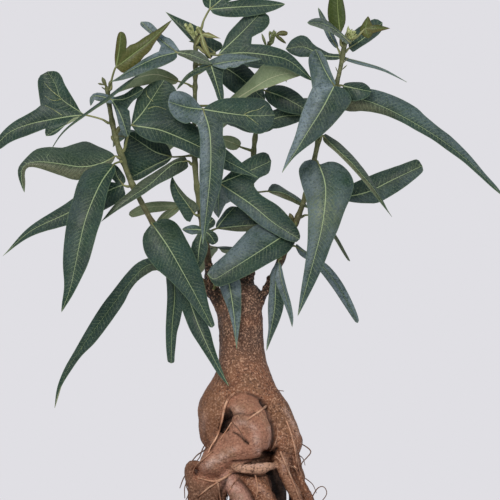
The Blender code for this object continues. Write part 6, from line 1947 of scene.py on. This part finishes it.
# %% [markdown]
# ## Leaf stalks
#
# A stalk grows out of its stem with a small swollen foot and runs on as the thick base of
# the midrib. It is a thin tube from the stem's axis through the typed points to a place
# just inside the blade, so that neither end shows a gap. On a few leaves the side veins
# fork and stand out, and these are the same thin tubes laid on the front of the blade.

# %% Stalks
def carrier_axis(name, seat):
    """The nearest point on the carrying stem's axis and the direction of the stem there."""
    points = BRANCHES["branch_left"][1] if name == "trunk" else STEMS[name]
    dense, _ = smooth_curve(points)
    gaps = np.linalg.norm(dense[:, :3] - np.array(seat, float), axis=1)
    k = int(np.clip(np.argmin(gaps), 1, len(dense) - 2))
    return dense[k, :3], unit(dense[k + 1, :3] - dense[k - 1, :3]), dense[k, 3]


FOOT, RIM, MIDDLE = 1.4, 1.3, 0.85  # a stalk's radius inside its stem, just outside, between
IN_THE_BLADE = ((-0.5, 0.8), (3.0, 0.5), (9.0, 0.2))  # past the joint: how far, and radius


def leaf_stalk(spec):
    """The stalk, from inside its stem to just inside the blade, thicker where it starts."""
    axis, along, radius = carrier_axis(spec["carrier"], spec["seat"])
    joint = np.array(spec["joint"], float)
    outward = np.array((*spec["via"], spec["joint"])[0], float) - axis
    outward = unit(outward - along * np.dot(outward, along))
    middle = spec["lobes"][len(spec["lobes"]) // 2]
    inward = unit(np.array(middle["points"][0], float) - joint)
    points = [(*axis, FOOT), (*(axis + outward * (radius + 1.2)), RIM)]
    points += [(*place, MIDDLE) for place in spec["via"]]
    points += [(*(joint + ahead * inward), thick) for ahead, thick in IN_THE_BLADE]
    return tube(evenly(smooth_curve(points), 1.6, 8), 1)


print("stalks that bend on their way:", sum(bool(spec["via"]) for spec in LEAVES))

# %% Forked veins
# x and z points, as seen from the front
FORKS = {
    "leaf_left_01": [
        [(-150.4, 470.8), (-155.7, 475), (-159.6, 478.6), (-163.4, 483)],
        [(-149.6, 469.8), (-154.3, 468.9), (-158, 469.4), (-163.2, 472.6)],
        [(-149, 457), (-153.6, 459.8), (-158.6, 462.9), (-163, 465)]],
    "leaf_left_04": [
        [(-81, 462), (-77, 463.8), (-72, 463.6), (-66.5, 461.4)],
        [(-77, 468), (-81.5, 472.4), (-82.6, 477)]],
    "leaf_centre_11": [
        [(-5, 457.4), (0, 459.8), (7, 461.6), (12, 465)], [(-4, 457.4), (1.5, 453.6), (7, 449.4)]],
}


def raised_vein(sheet, line):
    """A thin vein that stands a little out of the front of a blade."""
    depth_at = front_of(sheet)
    curve = flat_curve(line)
    points = []
    for x, _, z in points_along(curve, np.linspace(0.0, curve[1][-1], 14)):
        depth = depth_at(x, z)
        if depth is not None:
            points.append((x, depth, z, 0.3 - 0.012 * len(points)))
    return tube(points, 1)


print("forked veins:", sum(len(lines) for lines in FORKS.values()))

# %% [markdown]
# ## Shoot tips
#
# A growing tip is a crumbly bunch of pale new buds with the smallest leaves still folded
# round it. The buds are the same tubes as before, and each grain is a small sphere that
# noise has pushed out of shape. Scattered copies would all be alike, so every grain is
# typed with its own place and size.

# %% New buds and grains
NEW_BUDS = {
    "stem_centre": [
        ((-43.6, -10, 516.5), (-52, -13.5, 530.4), 1.5), ((-43.4, -10, 517), (-47.4, -13, 531), 1.2),
        ((-44.5, -10.5, 519), (-47.6, -13.5, 525.5), 1.3)],
    "stem_back": [
        ((15.5, 28, 513), (19.4, 27.5, 527.6), 1.5), ((14.5, 28, 510), (9.4, 28, 524.5), 1.2),
        ((15.8, 28, 518), (15.6, 27.5, 526.6), 0.8), ((16.6, 28, 519), (21.4, 27, 526), 0.8)],
    "stem_right": [
        ((76.8, -16, 519), (78.4, -19.5, 528.5), 1.0), ((76.6, -16, 515), (84.4, -20.5, 524.4), 1.4),
        ((76.4, -16, 514), (86, -20.5, 520.6), 1.3), ((77, -16, 518), (81.4, -20.5, 526), 1.2)],
}

# Grains round them: places and sizes
GRAINS = {
    "stem_centre": [
        (-51.2, -13, 529, 1.7), (-47.8, -13, 529, 1.6), (-49.8, -12.6, 526.4, 1.7),
        (-48, -12.4, 524.4, 1.4), (-41.4, -11.5, 526.4, 2.0), (-42.6, -12, 523, 2.0),
        (-40.2, -12.5, 524.8, 1.8)],
    "stem_back": [(16.6, 27.5, 525, 1.2), (18.2, 27, 523.2, 1.2), (20, 27, 525, 1.2)],
    "stem_right": [
        (79, -19.5, 524, 1.7), (80.8, -20, 521.8, 1.8), (82.8, -20, 523, 1.7), (84.4, -20, 520.6, 1.4),
        (81.8, -20, 519, 1.7), (79.6, -19.5, 518.8, 1.6), (78.4, -19, 526, 1.1)],
}


def grain(x, y, z, size):
    """One knobby grain, a little longer than wide."""
    bpy.ops.mesh.primitive_ico_sphere_add(
        subdivisions=2, radius=size * MM, location=(x * MM, y * MM, z * MM))
    piece = bpy.context.object
    piece.scale = (0.85, 0.85, 1.2)
    bpy.ops.object.transform_apply(location=True, rotation=True, scale=True)
    places = vertex_array(piece)
    bumps = [0.3 * size * noise.noise(Vector(place) * 0.9) for place in places]
    move_vertices(piece, places + vertex_array(piece, "normal") * np.array(bumps)[:, None])
    bpy.ops.object.shade_smooth()
    return piece


print("grains:", sum(len(grains) for grains in GRAINS.values()))

# %% Tip leaves
TIP_LEAVES = {
    "stem_centre": leaf(
        0, (-41.5, -10, 524), (-38.6, -15, 521.8),
        lobe(2.4, SPOON, (-40, -14.5, 524.5, -41.5, -14, 527)),
        lobe(2.8, HEART, (-34, -17, 521.4, -23.4, -18, 518.4), bronze=(0.3, 0.0)),
        lobe(2.2, BLADE, (-36.6, -17, 513, -31, -17, 502)),
        lobe(1.8, BLADE, (-41, -14, 517.5, -43.4, -13, 513)),
        carrier="stem_centre", web=3.2),
    "stem_back": leaf(
        0, (15.5, 28, 518), (20.6, 26, 523),
        lobe(2.3, ROUND, (25, 25, 524.6, 30.4, 25, 524.4), bronze=(0.3, 0.2)),
        lobe(1.5, BLADE, (24.4, 25, 520, 29, 25, 516.2)),
        carrier="stem_back", web=2.2),
}

tip_skin = Skin("new_bud_skin", 0.62, Specular_IOR_Level=0.35)
tip_skin.ground(tip_skin.patches(420.0, 0.4, 0.62), (130, 138, 84), (182, 188, 138))
tip_skin.lay(tip_skin.specks(800.0, 0.7), 0.6, (104, 80, 54))
tip_skin.colour()
tip_skin.roughness(tip_skin.patches(200.0, 0.3, 0.7), 0.55, 0.75)
tip_skin.bump(tip_skin.patches(700.0, 0.3, 0.7), 0.3, 0.6)

for name, grains in GRAINS.items():
    parts = [grain(*values) for values in grains] + [bud(*values) for values in NEW_BUDS[name]]
    cluster = join(parts, name + "_buds")
    settle(cluster, name, "stem_skin", tip_skin.material)
    print(name, "buds:", count(cluster), "triangles")
    if name in TIP_LEAVES:
        sheet = blade(TIP_LEAVES[name], len(name), tip_top, young_under)
        stick = leaf_stalk(TIP_LEAVES[name])
        stick.data.materials.append(tip_skin.material)
        settle(join([sheet, stick], name + "_leaflet"), name, "stem_skin")

# %% [markdown]
# ## Hanging the leaves
#
# Every leaf is now built from its row in the tables: the blade, its stalk and any forked
# veins are joined into one piece, which takes the place of the plain leaf of the CAD
# model. Copies of a few shapes would be quicker, but no two leaves of this plant are
# alike, and each has to lie where its own plain leaf lies.

# %% Leaves
triangles = 0
for k, spec in enumerate(LEAVES):
    skins = (young_top, young_under) if spec["young"] else (leaf_top, leaf_under)
    sheet = blade(spec, 10.0 * k, *skins)
    stick = leaf_stalk(spec)
    stick.data.materials.append(stalk.material)
    forks = [raised_vein(sheet, line) for line in FORKS.get(spec["name"], ())]
    for fork in forks:
        fork.data.materials.append(tip_skin.material)
    whole = join([sheet, stick, *forks], spec["name"] + "_blade")
    settle(whole, spec["name"], "young_leaf" if spec["young"] else "leaf_green")
    triangles += count(whole)
print("leaf triangles:", triangles)

# %% [markdown]
# ## Size
#
# The finer pieces have to stay inside the CAD model's box.
